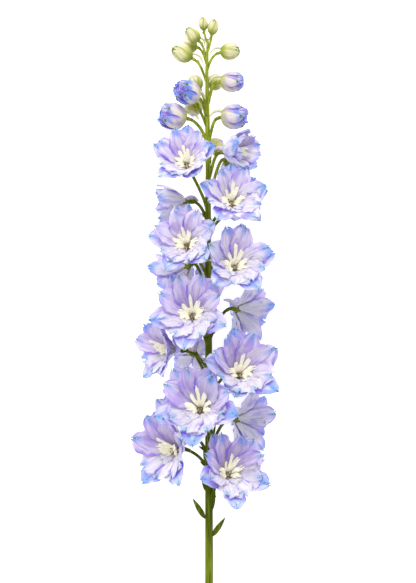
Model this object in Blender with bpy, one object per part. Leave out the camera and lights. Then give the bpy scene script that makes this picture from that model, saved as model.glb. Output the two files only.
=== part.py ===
"""A cut delphinium flower spike that lies on a table.

The stem runs along +Y, from its cut end to the youngest buds, and +Z points up from the table.
One green body holds the stem, its flower stalks and its small leaves. Every open flower has a
body of petals with its spur, and a cream eye that sits in its throat. Every bud is one body.
The tables below give lengths in millimetres, and MM turns them into Blender's metres.
"""

import math
from dataclasses import dataclass, replace

import bmesh
import bpy
from mathutils import Vector
from mathutils.bvhtree import BVHTree

MM = 0.001

# The part's origin, under the middle of its box, in the tables' own lengths, and how high over
# the table the stem lies
ORIGIN_ALONG = 200.0
ORIGIN_ACROSS = -3.0
AXIS_HEIGHT = 31.0

# The stem: how far up it, its sway to the right, its height over or under the axis, its radius
STEM_STATIONS = (
    (-25.0, 0.3, -2.0, 3.1),
    (20.0, 0.4, -1.0, 3.0),
    (75.0, 0.3, 0.0, 2.9),
    (135.0, 0.2, 0.3, 2.8),
    (200.0, 0.0, 0.0, 2.6),
    (260.0, -0.4, -0.6, 2.3),
    (310.0, -0.3, -1.5, 2.0),
    (350.0, -0.9, -2.6, 1.7),
    (385.0, -1.3, -3.8, 1.3),
    (409.0, -0.6, -4.6, 0.9),
)
STEM_SIDES = 8
STALK_SIDES = 5
STALK_STEPS = 4
STALK_RADIUS = 1.15
BUD_STALK_RADIUS = 0.75
SEAT_GAP = 0.35
STALK_GAP = 0.6

# A flower's own build, along its axis from the plate that carries the outer petals
BLADE_THICKNESS = 0.7
PLATE_HALF = 0.4
PLATE_RADIUS = 3.0
INNER_PLATE_HEIGHT = 1.8
BARREL_RADIUS = 2.1
BARREL_DEPTH = 3.0
BARREL_SIDES = 5
SPUR_SIDES = 5
SPUR_SHAPE = (0.85, 1.0, 0.92, 0.66, 0.32)
SPUR_RADIUS = 1.8
SPUR_LENGTH = 0.58
EYE_HUB_HEIGHT = 3.0
EYE_THICKNESS = 1.3
EYE_ROWS = ((0.55, 2), (1.0, 1))
OUTER_PETALS = 5
INNER_PETALS = 5
INNER_LENGTH = 0.86
OUTER_WIDTH = 0.60
INNER_WIDTH = 0.56
OUTER_ROWS = ((0.36, 3), (0.74, 3), (1.0, 1))
INNER_ROWS = ((0.40, 3), (0.78, 3), (0.97, 2))
OUTER_POINT = 2.0
INNER_POINT = 3.2
OUTER_WAIST = 2.5
INNER_WAIST = 4.2
HALF_OPEN_CUP = 42.0
HALF_OPEN_INNER = 3
HALF_OPEN_SPUR = 0.45
INNER_TOP_LONGER = 0.07
OUTER_SWING = (-18.0, 18.0)
INNER_SWING = (-30.0, 3.0)
HALF_OPEN_OUTER_SWING = (8.0, -30.0)
HALF_OPEN_INNER_SWING = (-12.0, -34.0)

# How a petal gives way to a neighbour: by how many degrees it opens, and what of its length is left
GIVE_WAY = (
    (0, 1.0), (-8, 1.0), (8, 1.0), (-16, 1.0), (16, 1.0), (-24, 0.96), (-32, 0.96),
    (-8, 0.88), (8, 0.88), (-16, 0.88), (-24, 0.88), (-32, 0.88), (-40, 0.88),
    (0, 0.76), (-16, 0.76), (-32, 0.76), (-44, 0.76), (12, 0.76), (-20, 0.62), (-40, 0.62),
    (-50, 0.7), (0, 0.5), (-30, 0.5), (-50, 0.5),
)
TEST_THICKNESS = 1.7
TEST_WIDTH = 1.06
OWN_THICKNESS = 1.0
TEST_ROOT = (0.24, 2)


@dataclass(frozen=True)
class EyeShape:
    """An eye's lobes: how many, and their hub's radius.

    Their length and width are shares of the petals' length, and their two leans of its cup.
    """

    lobes: int
    hub_radius: float
    length: float
    width: float
    leans: tuple


OPEN_EYE = EyeShape(5, 2.6, 0.40, 0.092, (0.20, 0.60))
HALF_OPEN_EYE = EyeShape(3, 2.2, 0.32, 0.09, (0.0, 0.25))


@dataclass(frozen=True)
class Flower:
    """An open flower: its plate's place, the way it faces, and its petals' length.

    The cup is how far its petals lean out from its axis. The roll turns them round the axis. The
    bend is how far its spur turns from the flower's back towards the tip of the spike, and the
    stalk is how much lower than the flower it leaves the stem.
    """

    name: str
    across: float
    along: float
    lift: float
    face: tuple
    length: float
    cup: float = 54.0
    roll: float = 0.0
    bend: float = 88.0
    stalk: float = 22.0


@dataclass(frozen=True)
class Bud:
    """A closed bud: its base's place, the way it points, its length and width, its stalk's rise.

    The tail is the length of its spur, and a ripe bud's sepals stand apart at the tip.
    """

    name: str
    across: float
    along: float
    lift: float
    face: tuple
    length: float
    width: float
    stalk: float
    tail: float = 0.0
    ripe: bool = False


FLOWERS = (
    Flower("front_1", -14.6, 311.0, 14.0, (-0.26, 0.52, 0.81), 30.0, 50.0, stalk=30.0),
    Flower("front_2", 16.4, 283.0, 14.0, (0.16, 0.48, 0.86), 29.0, 55.0),
    Flower("front_3", -15.0, 251.5, 14.5, (-0.24, 0.34, 0.91), 30.5, 53.0, roll=12.0),
    Flower("front_4", 18.5, 235.2, 14.5, (0.19, 0.40, 0.90), 32.5, 54.0, roll=-8.0),
    Flower("front_5", -11.2, 199.2, 17.0, (-0.17, 0.30, 0.94), 34.0, 57.0, roll=32.0),
    Flower("front_6", 21.2, 154.5, 14.5, (0.30, 0.42, 0.86), 35.0, 55.0, roll=10.0),
    Flower("front_7", -5.0, 129.2, 19.0, (-0.22, 0.32, 0.92), 36.0, 60.0, roll=36.0),
    Flower("front_8", -22.0, 99.8, 9.0, (-0.68, -0.02, 0.73), 35.0, 56.0, bend=0.0, stalk=15.0),
    Flower("front_9", 12.0, 80.6, 16.0, (0.44, 0.30, 0.84), 32.5, 60.0, roll=30.0),
    Flower("side_1", -25.5, 174.8, 0.0, (-0.86, 0.02, 0.50), 29.0, 52.0, bend=-40.0, stalk=15.0),
    Flower("side_2", 20.9, 205.1, -3.0, (0.67, -0.20, -0.72), 27.0, 53.0, bend=-10.0),
    Flower("side_3", 20.5, 122.1, -5.0, (0.72, -0.16, -0.68), 28.5, 54.0, bend=-10.0),
    Flower("half_1", -17.4, 286.3, -3.0, (-1.0, -0.06, 0.0), 24.0, 40.0, bend=-45.0, stalk=14.0),
    Flower("half_2", 12.5, 323.4, 2.0, (0.84, 0.06, 0.60), 26.0, 41.0, bend=-30.0, stalk=19.0),
    Flower("half_3", 13.9, 316.0, -12.0, (0.42, -0.38, -0.82), 21.0, 40.0, stalk=26.0),
    Flower("back_1", -13.9, 263.5, -11.0, (-0.50, 0.10, -0.85), 24.0, 50.0, roll=20.0),
    Flower("back_2", 20.5, 287.0, -10.0, (0.50, 0.10, -0.85), 23.0, 50.0),
    Flower("back_3", -15.5, 237.4, -9.0, (-0.62, -0.42, -0.66), 28.0, 52.0, bend=60.0),
    Flower("back_4", 3.0, 238.0, -14.0, (0.20, 0.0, -1.0), 26.0, 50.0, roll=36.0),
    Flower("back_5", -11.5, 172.0, -15.0, (-0.18, 0.10, -1.0), 21.0, 46.0, bend=110.0),
    Flower("back_6", 20.0, 160.0, -11.0, (0.42, 0.05, -0.90), 25.0, 50.0, roll=15.0),
    Flower("back_7", -19.0, 118.0, -10.0, (-0.36, 0.10, -0.93), 27.0, 50.0, roll=30.0),
)

BUDS = (
    Bud("bud_01", -3.4, 415.2, -4.0, (-0.13, 1.0, 0.10), 10.1, 6.6, 9.0),
    Bud("bud_02", 2.4, 411.8, -3.0, (0.18, 1.0, 0.10), 12.0, 7.9, 12.0),
    Bud("bud_03", -7.3, 407.0, 0.0, (-0.72, 0.69, 0.15), 13.4, 10.0, 14.0, tail=9.0),
    Bud("bud_04", -9.2, 402.5, -9.0, (-0.80, 0.20, -0.58), 12.0, 10.0, 12.0),
    Bud("bud_05", -12.5, 394.0, 0.0, (-0.90, 0.44, 0.12), 16.7, 12.6, 17.0, tail=13.5),
    Bud("bud_06", 9.1, 398.2, 0.0, (0.99, 0.14, 0.12), 14.7, 12.8, 12.0, tail=12.0),
    Bud("bud_07", 9.1, 376.2, 0.0, (1.0, 0.02, 0.15), 18.0, 15.2, 16.0, tail=13.0, ripe=True),
    Bud("bud_08", -8.3, 364.6, 4.0, (-0.74, 0.33, 0.58), 21.0, 18.0, 17.0, tail=12.0, ripe=True),
    Bud("bud_09", -7.4, 372.0, -9.0, (-0.40, 0.62, -0.68), 13.0, 11.0, 14.0),
    Bud("bud_10", 3.0, 373.0, -9.0, (0.32, 0.55, -0.77), 13.0, 12.0, 14.0),
    Bud("bud_11", -17.0, 348.8, 0.0, (-0.96, 0.15, 0.25), 21.0, 20.0, 17.0, tail=15.0, ripe=True),
    Bud("bud_12", 9.7, 349.5, 1.0, (0.98, 0.06, 0.20), 20.0, 18.6, 18.0, tail=14.0, ripe=True),
    Bud("bud_13", 3.5, 327.5, -8.0, (0.25, 0.05, -0.95), 15.5, 13.0, 15.0),
    Bud("bud_14", -10.0, 359.0, -6.0, (-0.20, -0.20, -0.96), 15.0, 13.5, 16.0),
)

# The small leaves on the bare stem: base and tip, across and along, and the tip's height
LEAVES = (
    (-2.6, 48.0, -12.0, 63.3, 2.0),
    (2.6, 34.5, 12.8, 49.1, 3.0),
    (2.7, 54.0, 5.2, 69.0, 1.0),
    (-2.6, 69.0, -5.4, 83.0, 2.0),
)
LEAF_WIDTH = 3.4

SHARP_ANGLE = math.radians(40.0)

COLOURS = {
    "stem": ((0.30, 0.42, 0.07), 0.55),
    "petals": ((0.66, 0.62, 0.93), 0.6),
    "eye": ((0.95, 0.92, 0.72), 0.65),
    "bud": ((0.68, 0.72, 0.45), 0.55),
    "violet_bud": ((0.60, 0.58, 0.85), 0.55),
}


def stem_at(along):
    """The stem axis's point and its radius, this far up the stem, in millimetres."""
    low = STEM_STATIONS[0]
    for high in STEM_STATIONS[1:]:
        if along <= high[0]:
            break
        low = high
    share = (along - low[0]) / (high[0] - low[0])
    across, lift, radius = (a + (b - a) * share for a, b in zip(low[1:], high[1:]))
    return Vector((across, along, lift)), radius


@dataclass(frozen=True)
class BudShape:
    """A bud's outline from base to tip, its sepals' ribs round it, and where its two ends lie."""

    levels: tuple
    ribs: tuple
    ends: tuple


GREEN_BUD = BudShape(
    ((0.08, 0.58), (0.32, 0.95), (0.62, 1.0), (0.88, 0.62)),
    (0.86, 1.0),
    (0.0, 1.0),
)
RIPE_BUD = BudShape(
    ((0.07, 0.55), (0.28, 0.93), (0.55, 1.02), (0.80, 0.84), (0.98, 0.42)),
    (0.84, 1.0, 0.99),
    (0.0, 0.86),
)


def placed(point):
    """A design point in millimetres as a point of the part's frame, in metres."""
    x, y, z = point
    return Vector((x - ORIGIN_ACROSS, y - ORIGIN_ALONG, z + AXIS_HEIGHT)) * MM


class Facing:
    """A flower's own frame: its place, its axis, and the two directions across it."""

    def __init__(self, across, along, lift, face, roll=0.0):
        self.origin = Vector((across, along, lift))
        self.axis = Vector(face).normalized()
        tipward = Vector((0.0, 1.0, 0.0))
        if abs(self.axis.y) > 0.95:
            tipward = Vector((0.0, 0.0, 1.0))
        self.top = (tipward - self.axis * tipward.dot(self.axis)).normalized()
        self.side = self.top.cross(self.axis)
        self.roll = math.radians(roll)

    def outward(self, azimuth):
        """The direction away from the axis at this azimuth, which is 90 degrees at the top."""
        turn = math.radians(azimuth) + self.roll
        return self.side * math.cos(turn) + self.top * math.sin(turn)

    def point(self, azimuth, radius, height):
        """The point this far from the axis and along it."""
        return self.origin + self.outward(azimuth) * radius + self.axis * height


def petal_half_width(u, width, point, waist):
    """Half the width of a petal at the share u of its length.

    A low point means a sharp tip, and a high waist a narrow claw.
    """
    widest = 0.62
    if u < widest:
        blade = math.sin(0.5 * math.pi * u / widest) ** waist
    else:
        blade = max(0.0, 1.0 - ((u - widest) / (1.0 - widest)) ** point) ** 0.75
    return 1.3 * (1.0 - u) + 0.5 * width * blade


@dataclass(frozen=True)
class Petal:
    """One petal's place in its whorl, its size, and how it leans out along its length."""

    azimuth: float
    length: float
    width: float
    start: float
    end: float
    root_radius: float
    root_height: float
    point: float = OUTER_POINT
    waist: float = OUTER_WAIST
    cupping: float = 0.015
    twist: float = 0.06

    def surface(self, facing, u, v):
        """The middle surface's point and its normal, at shares u of the length and v of the width."""
        first, last = math.radians(self.start), math.radians(self.end)
        swing = last - first if abs(last - first) > 1e-4 else 1e-4
        lean = first + swing * u
        radius = self.root_radius + self.length * (math.cos(first) - math.cos(lean)) / swing
        height = self.root_height + self.length * (math.sin(lean) - math.sin(first)) / swing
        outward = facing.outward(self.azimuth)
        across = facing.axis.cross(outward)
        normal = facing.axis * math.sin(lean) - outward * math.cos(lean)
        aside = v * petal_half_width(u, self.width, self.point, self.waist)
        twist = self.twist * min(1.0, 3.0 * u)
        rise = (twist + self.cupping * aside) * aside
        point = facing.point(self.azimuth, radius, height) + across * aside + normal * rise
        tilt = normal - across * (twist + 2.0 * self.cupping * aside)
        return point, tilt.normalized()


def blade_rows(facing, petal, rows, thickness, widen=1.0):
    """The rows of point pairs, inner face and outer face, along a petal, pressed to the table."""
    made = []
    for u, count in rows:
        row = []
        for k in range(count):
            v = widen * (2.0 * k / (count - 1) - 1.0) if count > 1 else 0.0
            point, normal = petal.surface(facing, u, v)
            pair = [point + normal * (thickness / 2), point - normal * (thickness / 2)]
            under = -AXIS_HEIGHT - min(pair[0].z, pair[1].z)
            if under > 0.0:
                pair = [p + Vector((0.0, 0.0, under)) for p in pair]
            row.append(pair)
        made.append(row)
    return made


STITCHES = {
    (2, 1): ((("a", 0), ("b", 0), ("a", 1)),),
    (3, 1): ((("a", 0), ("b", 0), ("a", 1)), (("a", 1), ("b", 0), ("a", 2))),
    (2, 2): ((("a", 0), ("b", 0), ("b", 1)), (("a", 0), ("b", 1), ("a", 1))),
    (2, 3): (
        (("a", 0), ("b", 0), ("b", 1)),
        (("a", 0), ("b", 1), ("a", 1)),
        (("a", 1), ("b", 1), ("b", 2)),
    ),
    (3, 3): (
        (("a", 0), ("b", 0), ("b", 1)),
        (("a", 0), ("b", 1), ("a", 1)),
        (("a", 1), ("b", 1), ("a", 2)),
        (("a", 2), ("b", 1), ("b", 2)),
    ),
    (3, 2): (
        (("a", 0), ("b", 0), ("a", 1)),
        (("a", 1), ("b", 0), ("b", 1)),
        (("a", 1), ("b", 1), ("a", 2)),
    ),
}


def stitch(bm, rows):
    """Faces between rows of vertex pairs, split alike on both faces, with the far end closed."""
    for low, high in zip(rows, rows[1:]):
        named = {"a": low, "b": high}
        for side in (0, 1):
            for corners in STITCHES[len(low), len(high)]:
                bm.faces.new([named[row][k][side] for row, k in corners])
        for k in (0, -1):
            bm.faces.new([low[k][0], high[k][0], high[k][1], low[k][1]])
    last = rows[-1]
    if len(last) > 1:
        bm.faces.new([pair[0] for pair in last] + [pair[1] for pair in reversed(last)])


def blade_tree(rows):
    """A search tree of a blade's faces, to test it against its neighbours."""
    bm = bmesh.new()
    stitch(bm, [[[bm.verts.new(p) for p in pair] for pair in row] for row in rows])
    tree = BVHTree.FromBMesh(bm)
    bm.free()
    return tree


def whorl(facing, sides, first_azimuth, height, half, radius, petals, rows, thickness):
    """A many-sided plate whose sides are each drawn out into a petal."""
    bm = bmesh.new()
    step = 360.0 / sides
    corners = []
    for k in range(sides):
        azimuth = first_azimuth + (k - 0.5) * step
        corners.append(
            [bm.verts.new(facing.point(azimuth, radius, height + h)) for h in (half, -half)]
        )
    for side in (0, 1):
        bm.faces.new([pair[side] for pair in corners])
    for k in range(sides):
        root = [corners[k], corners[(k + 1) % sides]]
        if petals[k] is None:
            bm.faces.new([root[0][0], root[0][1], root[1][1], root[1][0]])
            continue
        blade = blade_rows(facing, petals[k], rows, thickness)
        stitch(bm, [root] + [[[bm.verts.new(p) for p in pair] for pair in row] for row in blade])
    return bm


def tube(points, radii, sides):
    """A round bar through the points, with a flat cap at each end."""
    bm = bmesh.new()
    rings = []
    side = None
    for k, (point, radius) in enumerate(zip(points, radii)):
        before, after = points[max(0, k - 1)], points[min(len(points) - 1, k + 1)]
        along = (after - before).normalized()
        if side is None:
            side = along.orthogonal().normalized()
        side = (side - along * side.dot(along)).normalized()
        other = along.cross(side)
        ring = []
        for n in range(sides):
            turn = 2.0 * math.pi * n / sides
            spoke = side * math.cos(turn) + other * math.sin(turn)
            ring.append(bm.verts.new(point + spoke * radius))
        rings.append(ring)
    for low, high in zip(rings, rings[1:]):
        for n in range(sides):
            m = (n + 1) % sides
            bm.faces.new([low[n], low[m], high[m], high[n]])
    bm.faces.new(rings[0])
    bm.faces.new(rings[-1])
    return bm


def bezier(start, first, second, end, steps):
    """Points along a cubic curve."""
    points = []
    for k in range(steps + 1):
        t = k / steps
        points.append(
            start * (1 - t) ** 3
            + first * (3 * t * (1 - t) ** 2)
            + second * (3 * t * t * (1 - t))
            + end * t ** 3
        )
    return points


def stalk_points(facing, seat_depth, rise):
    """The line of a flower stalk, from inside the stem to just behind the flower's base."""
    end = facing.origin - facing.axis * (seat_depth + STALK_GAP)
    root, radius = stem_at(min(end.y - 3.0, facing.origin.y - rise))
    outward = end - root
    outward.y = 0.0
    outward.normalize()
    reach = (end - root).length
    first = root + (outward * 0.45 + Vector((0.0, 0.85, 0.0))) * (0.42 * reach)
    second = end - facing.axis * (0.36 * reach)
    return bezier(root + outward * (0.3 * radius), first, second, end, STALK_STEPS)


def spur(facing, start, length, bend, radius):
    """A spur, closed at its tip: out above the stalk, then round by the bend."""
    points = [start]
    steps = len(SPUR_SHAPE) - 1
    for k in range(steps):
        angle = math.radians(45.0 + (bend - 45.0) * k / (steps - 1))
        onward = facing.top * math.sin(angle) - facing.axis * math.cos(angle)
        points.append(points[-1] + onward * (length / steps))
    return tube(points, [radius * share for share in SPUR_SHAPE], SPUR_SIDES)


def flower_spur(flower):
    """An open flower's spur."""
    facing = flower_facing(flower)
    start = facing.origin + facing.top * 1.0 - facing.axis * 0.6
    length = flower.length * (HALF_OPEN_SPUR if flower.cup < HALF_OPEN_CUP else SPUR_LENGTH)
    return spur(facing, start, length, flower.bend, SPUR_RADIUS)


def barrel(facing):
    """The short base under a flower's petals, which carries both plates."""
    levels = (-BARREL_DEPTH, INNER_PLATE_HEIGHT)
    radii = (0.75 * BARREL_RADIUS, BARREL_RADIUS)
    points = [facing.origin + facing.axis * level for level in levels]
    return tube(points, radii, BARREL_SIDES)


def eye(flower):
    """The cream eye: a hub whose sides are drawn out into pointed lobes around the throat."""
    facing = flower_facing(flower)
    shape = HALF_OPEN_EYE if flower.cup < HALF_OPEN_CUP else OPEN_EYE
    half = EYE_HUB_HEIGHT / 2
    middle = INNER_PLATE_HEIGHT + PLATE_HALF + SEAT_GAP + half
    start, end = (share * flower.cup for share in shape.leans)
    width = shape.width * flower.length
    root = 0.8 * shape.hub_radius
    lobes = []
    for k in range(shape.lobes):
        azimuth = 90.0 + 360.0 / shape.lobes * k
        upper = math.sin(math.radians(azimuth))
        length = shape.length * flower.length * (1.0 + 0.15 * upper)
        lobes.append(Petal(azimuth, length, width, start, end, root, middle, twist=0.0))
    return whorl(
        facing, shape.lobes, 90.0, middle, half, shape.hub_radius, lobes, EYE_ROWS, EYE_THICKNESS
    )


def bud_body(facing, bud):
    """A closed bud: an egg whose five sepals bulge between grooves, dimpled at the tip when ripe."""
    shape = RIPE_BUD if bud.ripe else GREEN_BUD
    bm = bmesh.new()
    rings = []
    for level, share in shape.levels:
        ring = []
        for n in range(5 * len(shape.ribs)):
            azimuth = 72.0 * n / len(shape.ribs) + 40.0 * level
            radius = 0.5 * bud.width * share * shape.ribs[n % len(shape.ribs)]
            ring.append(bm.verts.new(facing.point(azimuth, radius, bud.length * level)))
        rings.append(ring)
    ends = [bm.verts.new(facing.point(0.0, 0.0, bud.length * h)) for h in shape.ends]
    count = len(rings[0])
    for low, high in zip(rings, rings[1:]):
        for n in range(count):
            m = (n + 1) % count
            bm.faces.new([low[n], low[m], high[m]])
            bm.faces.new([low[n], high[m], high[n]])
    for n in range(count):
        m = (n + 1) % count
        bm.faces.new([rings[0][n], rings[0][m], ends[0]])
        bm.faces.new([rings[-1][n], rings[-1][m], ends[1]])
    return bm


def leaf(root, tip):
    """A small spear-shaped leaf, its root sunk in the stem."""
    line = tip - root
    side = line.cross(Vector((0.0, 0.0, 1.0))).normalized()
    normal = side.cross(line).normalized()
    bm = bmesh.new()
    rows = []
    for u, width in ((0.0, 1.2), (0.45, LEAF_WIDTH), (0.8, 2.0), (1.0, 0.4)):
        centre = root + line * u + normal * (1.6 * math.sin(math.pi * u))
        row = []
        for v in (-0.5, 0.5):
            p = centre + side * (v * width)
            row.append([bm.verts.new(p + normal * (n * 0.4)) for n in (1, -1)])
        rows.append(row)
    first = rows[0]
    bm.faces.new([first[0][0], first[0][1], first[1][1], first[1][0]])
    stitch(bm, rows)
    return bm


def material(name):
    """The plain finish of one kind of piece."""
    found = bpy.data.materials.get(name)
    if found:
        return found
    colour, roughness = COLOURS[name]
    made = bpy.data.materials.new(name)
    made.use_nodes = True
    surface = made.node_tree.nodes["Principled BSDF"]
    surface.inputs["Base Color"].default_value = (*colour, 1.0)
    surface.inputs["Roughness"].default_value = roughness
    surface.inputs["Metallic"].default_value = 0.0
    return made


def shaded(mesh):
    """Shades a mesh smooth but for its sharp edges."""
    mesh.shade_smooth()
    mesh.set_sharp_from_angle(angle=SHARP_ANGLE)


def solid(name, bm, finish):
    """An object of the part's frame from a mesh in design millimetres."""
    for vert in bm.verts:
        vert.co = placed(vert.co)
    bmesh.ops.recalc_face_normals(bm, faces=bm.faces)
    bmesh.ops.triangulate(bm, faces=[f for f in bm.faces if len(f.verts) > 3])
    mesh = bpy.data.meshes.new(name)
    bm.to_mesh(mesh)
    bm.free()
    shaded(mesh)
    mesh.materials.append(material(finish))
    made = bpy.data.objects.new(name, mesh)
    bpy.context.scene.collection.objects.link(made)
    return made


def joined(name, meshes, finish):
    """One body from overlapping closed meshes, by one Boolean union on a collection."""
    body = solid(name, meshes[0], finish)
    if len(meshes) == 1:
        return body
    others = bpy.data.collections.new(name + "_others")
    bpy.context.scene.collection.children.link(others)
    for k, bm in enumerate(meshes[1:]):
        piece = solid(f"{name}_{k}", bm, finish)
        bpy.context.scene.collection.objects.unlink(piece)
        others.objects.link(piece)
    union = body.modifiers.new("join", "BOOLEAN")
    union.operation = "UNION"
    union.operand_type = "COLLECTION"
    union.collection = others
    union.solver = "MANIFOLD"
    graph = bpy.context.evaluated_depsgraph_get()
    result = bpy.data.meshes.new_from_object(body.evaluated_get(graph))
    body.modifiers.clear()
    body.data = result
    shaded(result)
    for piece in list(others.objects):
        bpy.data.objects.remove(piece)
    bpy.data.collections.remove(others)
    return body


def tree_of(obj):
    """A search tree of an object's faces, in design millimetres."""
    shift = Vector((ORIGIN_ACROSS, ORIGIN_ALONG, -AXIS_HEIGHT))
    points = [v.co / MM + shift for v in obj.data.vertices]
    return BVHTree.FromPolygons(points, [list(p.vertices) for p in obj.data.polygons])


def bent(petal, turn, share):
    """The petal opened further by this many degrees and cut to this share of its length."""
    return replace(
        petal,
        length=petal.length * share,
        width=petal.width * (0.5 + 0.5 * share),
        start=petal.start + 0.5 * turn,
        end=petal.end + turn,
    )


def fitted(facing, petal, rows, neighbours, own):
    """The petal bent clear of its neighbours and its search tree, or None where it has no room."""
    test_rows = (TEST_ROOT,) + rows
    for turn, share in GIVE_WAY:
        tried = bent(petal, turn, share)
        wide = blade_tree(blade_rows(facing, tried, test_rows, TEST_THICKNESS, TEST_WIDTH))
        if any(wide.overlap(other) for other in neighbours):
            continue
        close = blade_tree(blade_rows(facing, tried, test_rows, OWN_THICKNESS))
        if any(close.overlap(other) for other in own):
            continue
        return tried, close
    return None


def whorl_petals(flower, inner):
    """The petals of one whorl as they would stand with no neighbours, None for a bare side."""
    half_open = flower.cup < HALF_OPEN_CUP
    count = INNER_PETALS if inner else OUTER_PETALS
    width = flower.length * (INNER_WIDTH if inner else OUTER_WIDTH)
    waist = INNER_WAIST if inner else OUTER_WAIST
    if half_open:
        count = HALF_OPEN_INNER if inner else OUTER_PETALS
        waist = INNER_WAIST
    low, high = INNER_SWING if inner else OUTER_SWING
    if half_open:
        low, high = HALF_OPEN_INNER_SWING if inner else HALF_OPEN_OUTER_SWING
    petals = []
    for k in range(count):
        azimuth = 90.0 + 360.0 / count * (k + (0.5 if inner else 0.0))
        upper = math.sin(math.radians(azimuth + flower.roll))
        share = INNER_LENGTH * (1.0 + INNER_TOP_LONGER * upper) if inner else 1.0
        petals.append(
            Petal(
                azimuth,
                flower.length * share,
                width,
                flower.cup + low,
                flower.cup + high,
                PLATE_RADIUS,
                INNER_PLATE_HEIGHT if inner else 0.0,
                INNER_POINT if inner else OUTER_POINT,
                waist,
            )
        )
        if half_open and inner:
            petals.append(None)
    return petals


def flower_facing(flower):
    """The frame of an open flower."""
    return Facing(flower.across, flower.along, flower.lift, flower.face, flower.roll)


def build_stem():
    """The green body: the ribbed stem, every stalk, and the small leaves."""
    stations = [stem_at(station[0]) for station in STEM_STATIONS]
    meshes = [tube([p for p, _ in stations], [r for _, r in stations], STEM_SIDES)]
    for flower in FLOWERS:
        line = stalk_points(flower_facing(flower), BARREL_DEPTH, flower.stalk)
        radii = [STALK_RADIUS] * STALK_STEPS + [1.3 * STALK_RADIUS]
        meshes.append(tube(line, radii, STALK_SIDES))
    for bud in BUDS:
        line = stalk_points(Facing(bud.across, bud.along, bud.lift, bud.face), 0.0, bud.stalk)
        size = BUD_STALK_RADIUS + 0.02 * bud.width
        radii = [size] * STALK_STEPS + [1.3 * size]
        meshes.append(tube(line, radii, STALK_SIDES))
    for across, along, tip_across, tip_along, tip_lift in LEAVES:
        axis, _ = stem_at(along)
        root = Vector((across, along, axis.z + 0.5))
        tip = Vector((tip_across, tip_along, axis.z + tip_lift))
        meshes.append(leaf(root, tip))
    return joined("stem", meshes, "stem")


def build_bud(bud):
    """One bud, with its spur where it has one."""
    facing = Facing(bud.across, bud.along, bud.lift, bud.face)
    meshes = [bud_body(facing, bud)]
    if bud.tail:
        start = facing.origin + facing.axis * (0.12 * bud.length) + facing.top * (0.16 * bud.width)
        meshes.append(spur(facing, start, bud.tail, -50.0, 0.04 * bud.width + 0.55))
    return joined(bud.name, meshes, "violet_bud" if bud.ripe else "bud")


def flower_whorl(flower, inner, neighbours, eye_tree):
    """The mesh of one whorl of petals, each bent clear of its neighbours."""
    facing = flower_facing(flower)
    rows = INNER_ROWS if inner else OUTER_ROWS
    wanted = whorl_petals(flower, inner)
    own = [eye_tree]
    petals = []
    for petal in wanted:
        found = petal and fitted(facing, petal, rows, neighbours, own)
        if found:
            own.append(found[1])
        petals.append(found[0] if found else None)
    height = INNER_PLATE_HEIGHT if inner else 0.0
    return whorl(
        facing, len(petals), wanted[0].azimuth, height, PLATE_HALF, PLATE_RADIUS, petals, rows,
        BLADE_THICKNESS,
    )


def build_flower(flower, fixed, placed_petals):
    """One flower's petals with its spur, each petal bent clear of what is there already."""
    facing = flower_facing(flower)
    neighbours = [tree for name, tree in fixed.items() if not name.startswith(flower.name)]
    neighbours += placed_petals
    eye_tree = fixed[f"{flower.name}_eye"]
    meshes = [barrel(facing), flower_spur(flower)]
    for inner in (False, True):
        meshes.append(flower_whorl(flower, inner, neighbours, eye_tree))
    return joined(f"{flower.name}_petals", meshes, "petals")


def main():
    for old in list(bpy.data.objects):
        bpy.data.objects.remove(old)
    fixed = {"stem": tree_of(build_stem())}
    for bud in BUDS:
        fixed[bud.name] = tree_of(build_bud(bud))
    for flower in FLOWERS:
        made = solid(f"{flower.name}_eye", eye(flower), "eye")
        fixed[made.name] = tree_of(made)
        for part, bm in (("spur", flower_spur(flower)), ("barrel", barrel(flower_facing(flower)))):
            fixed[f"{flower.name}_{part}"] = BVHTree.FromBMesh(bm)
            bm.free()
    placed_petals = []
    for flower in FLOWERS:
        made = build_flower(flower, fixed, placed_petals)
        placed_petals.append(tree_of(made))


main()
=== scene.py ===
"""The looks of a cut delphinium spike that lies on a pale table and is seen from straight above.

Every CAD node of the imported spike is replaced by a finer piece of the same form. The tables give
the spike's own lengths in millimetres: across it, along it from the photo's lower edge, and up
from the stem's axis. A flower's petals give way to their neighbours as their solids do, which is
read from the solids.
"""

import logging
import math
import random
from dataclasses import dataclass, replace
from enum import Enum
from functools import cached_property
from typing import Any, Callable, Sequence

import bpy
import numpy as np
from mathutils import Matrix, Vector
from mathutils.kdtree import KDTree


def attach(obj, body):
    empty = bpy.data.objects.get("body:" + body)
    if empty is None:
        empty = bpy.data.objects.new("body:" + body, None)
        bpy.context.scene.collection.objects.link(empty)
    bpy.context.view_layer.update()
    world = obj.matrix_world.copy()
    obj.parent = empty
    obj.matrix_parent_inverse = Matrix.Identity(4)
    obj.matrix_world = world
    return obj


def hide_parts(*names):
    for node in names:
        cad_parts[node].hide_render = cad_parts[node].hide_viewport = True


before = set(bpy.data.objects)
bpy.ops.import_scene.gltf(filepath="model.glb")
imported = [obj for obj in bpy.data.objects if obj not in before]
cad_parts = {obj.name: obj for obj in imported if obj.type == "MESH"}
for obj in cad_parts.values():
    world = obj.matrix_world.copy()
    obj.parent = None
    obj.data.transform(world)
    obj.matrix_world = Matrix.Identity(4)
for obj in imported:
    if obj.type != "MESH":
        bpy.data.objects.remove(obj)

log = logging.getLogger("delphinium")

MM = 0.001
BODY = "root"
SMOOTH_BELOW = math.radians(50.0)

# The part's origin in the spike's millimetres, and how close to the table a petal comes
ORIGIN = np.array((-3.0, 200.0, -31.0))
TABLE_GAP = 0.22

# The solids: the least cup of an open flower in degrees, the petals' distance from its axis, the
# inner whorl's height, the petals' thickness, and the form of an inner petal's end
HALF_OPEN_CUP = 42.0
PLATE_RADIUS = 3.0
INNER_HEIGHT = 1.8
SOLID_BLADE = 0.7
SOLID_TIP = 0.97
SOLID_WIDEST = 0.62
SOLID_POINT = 3.2

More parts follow.
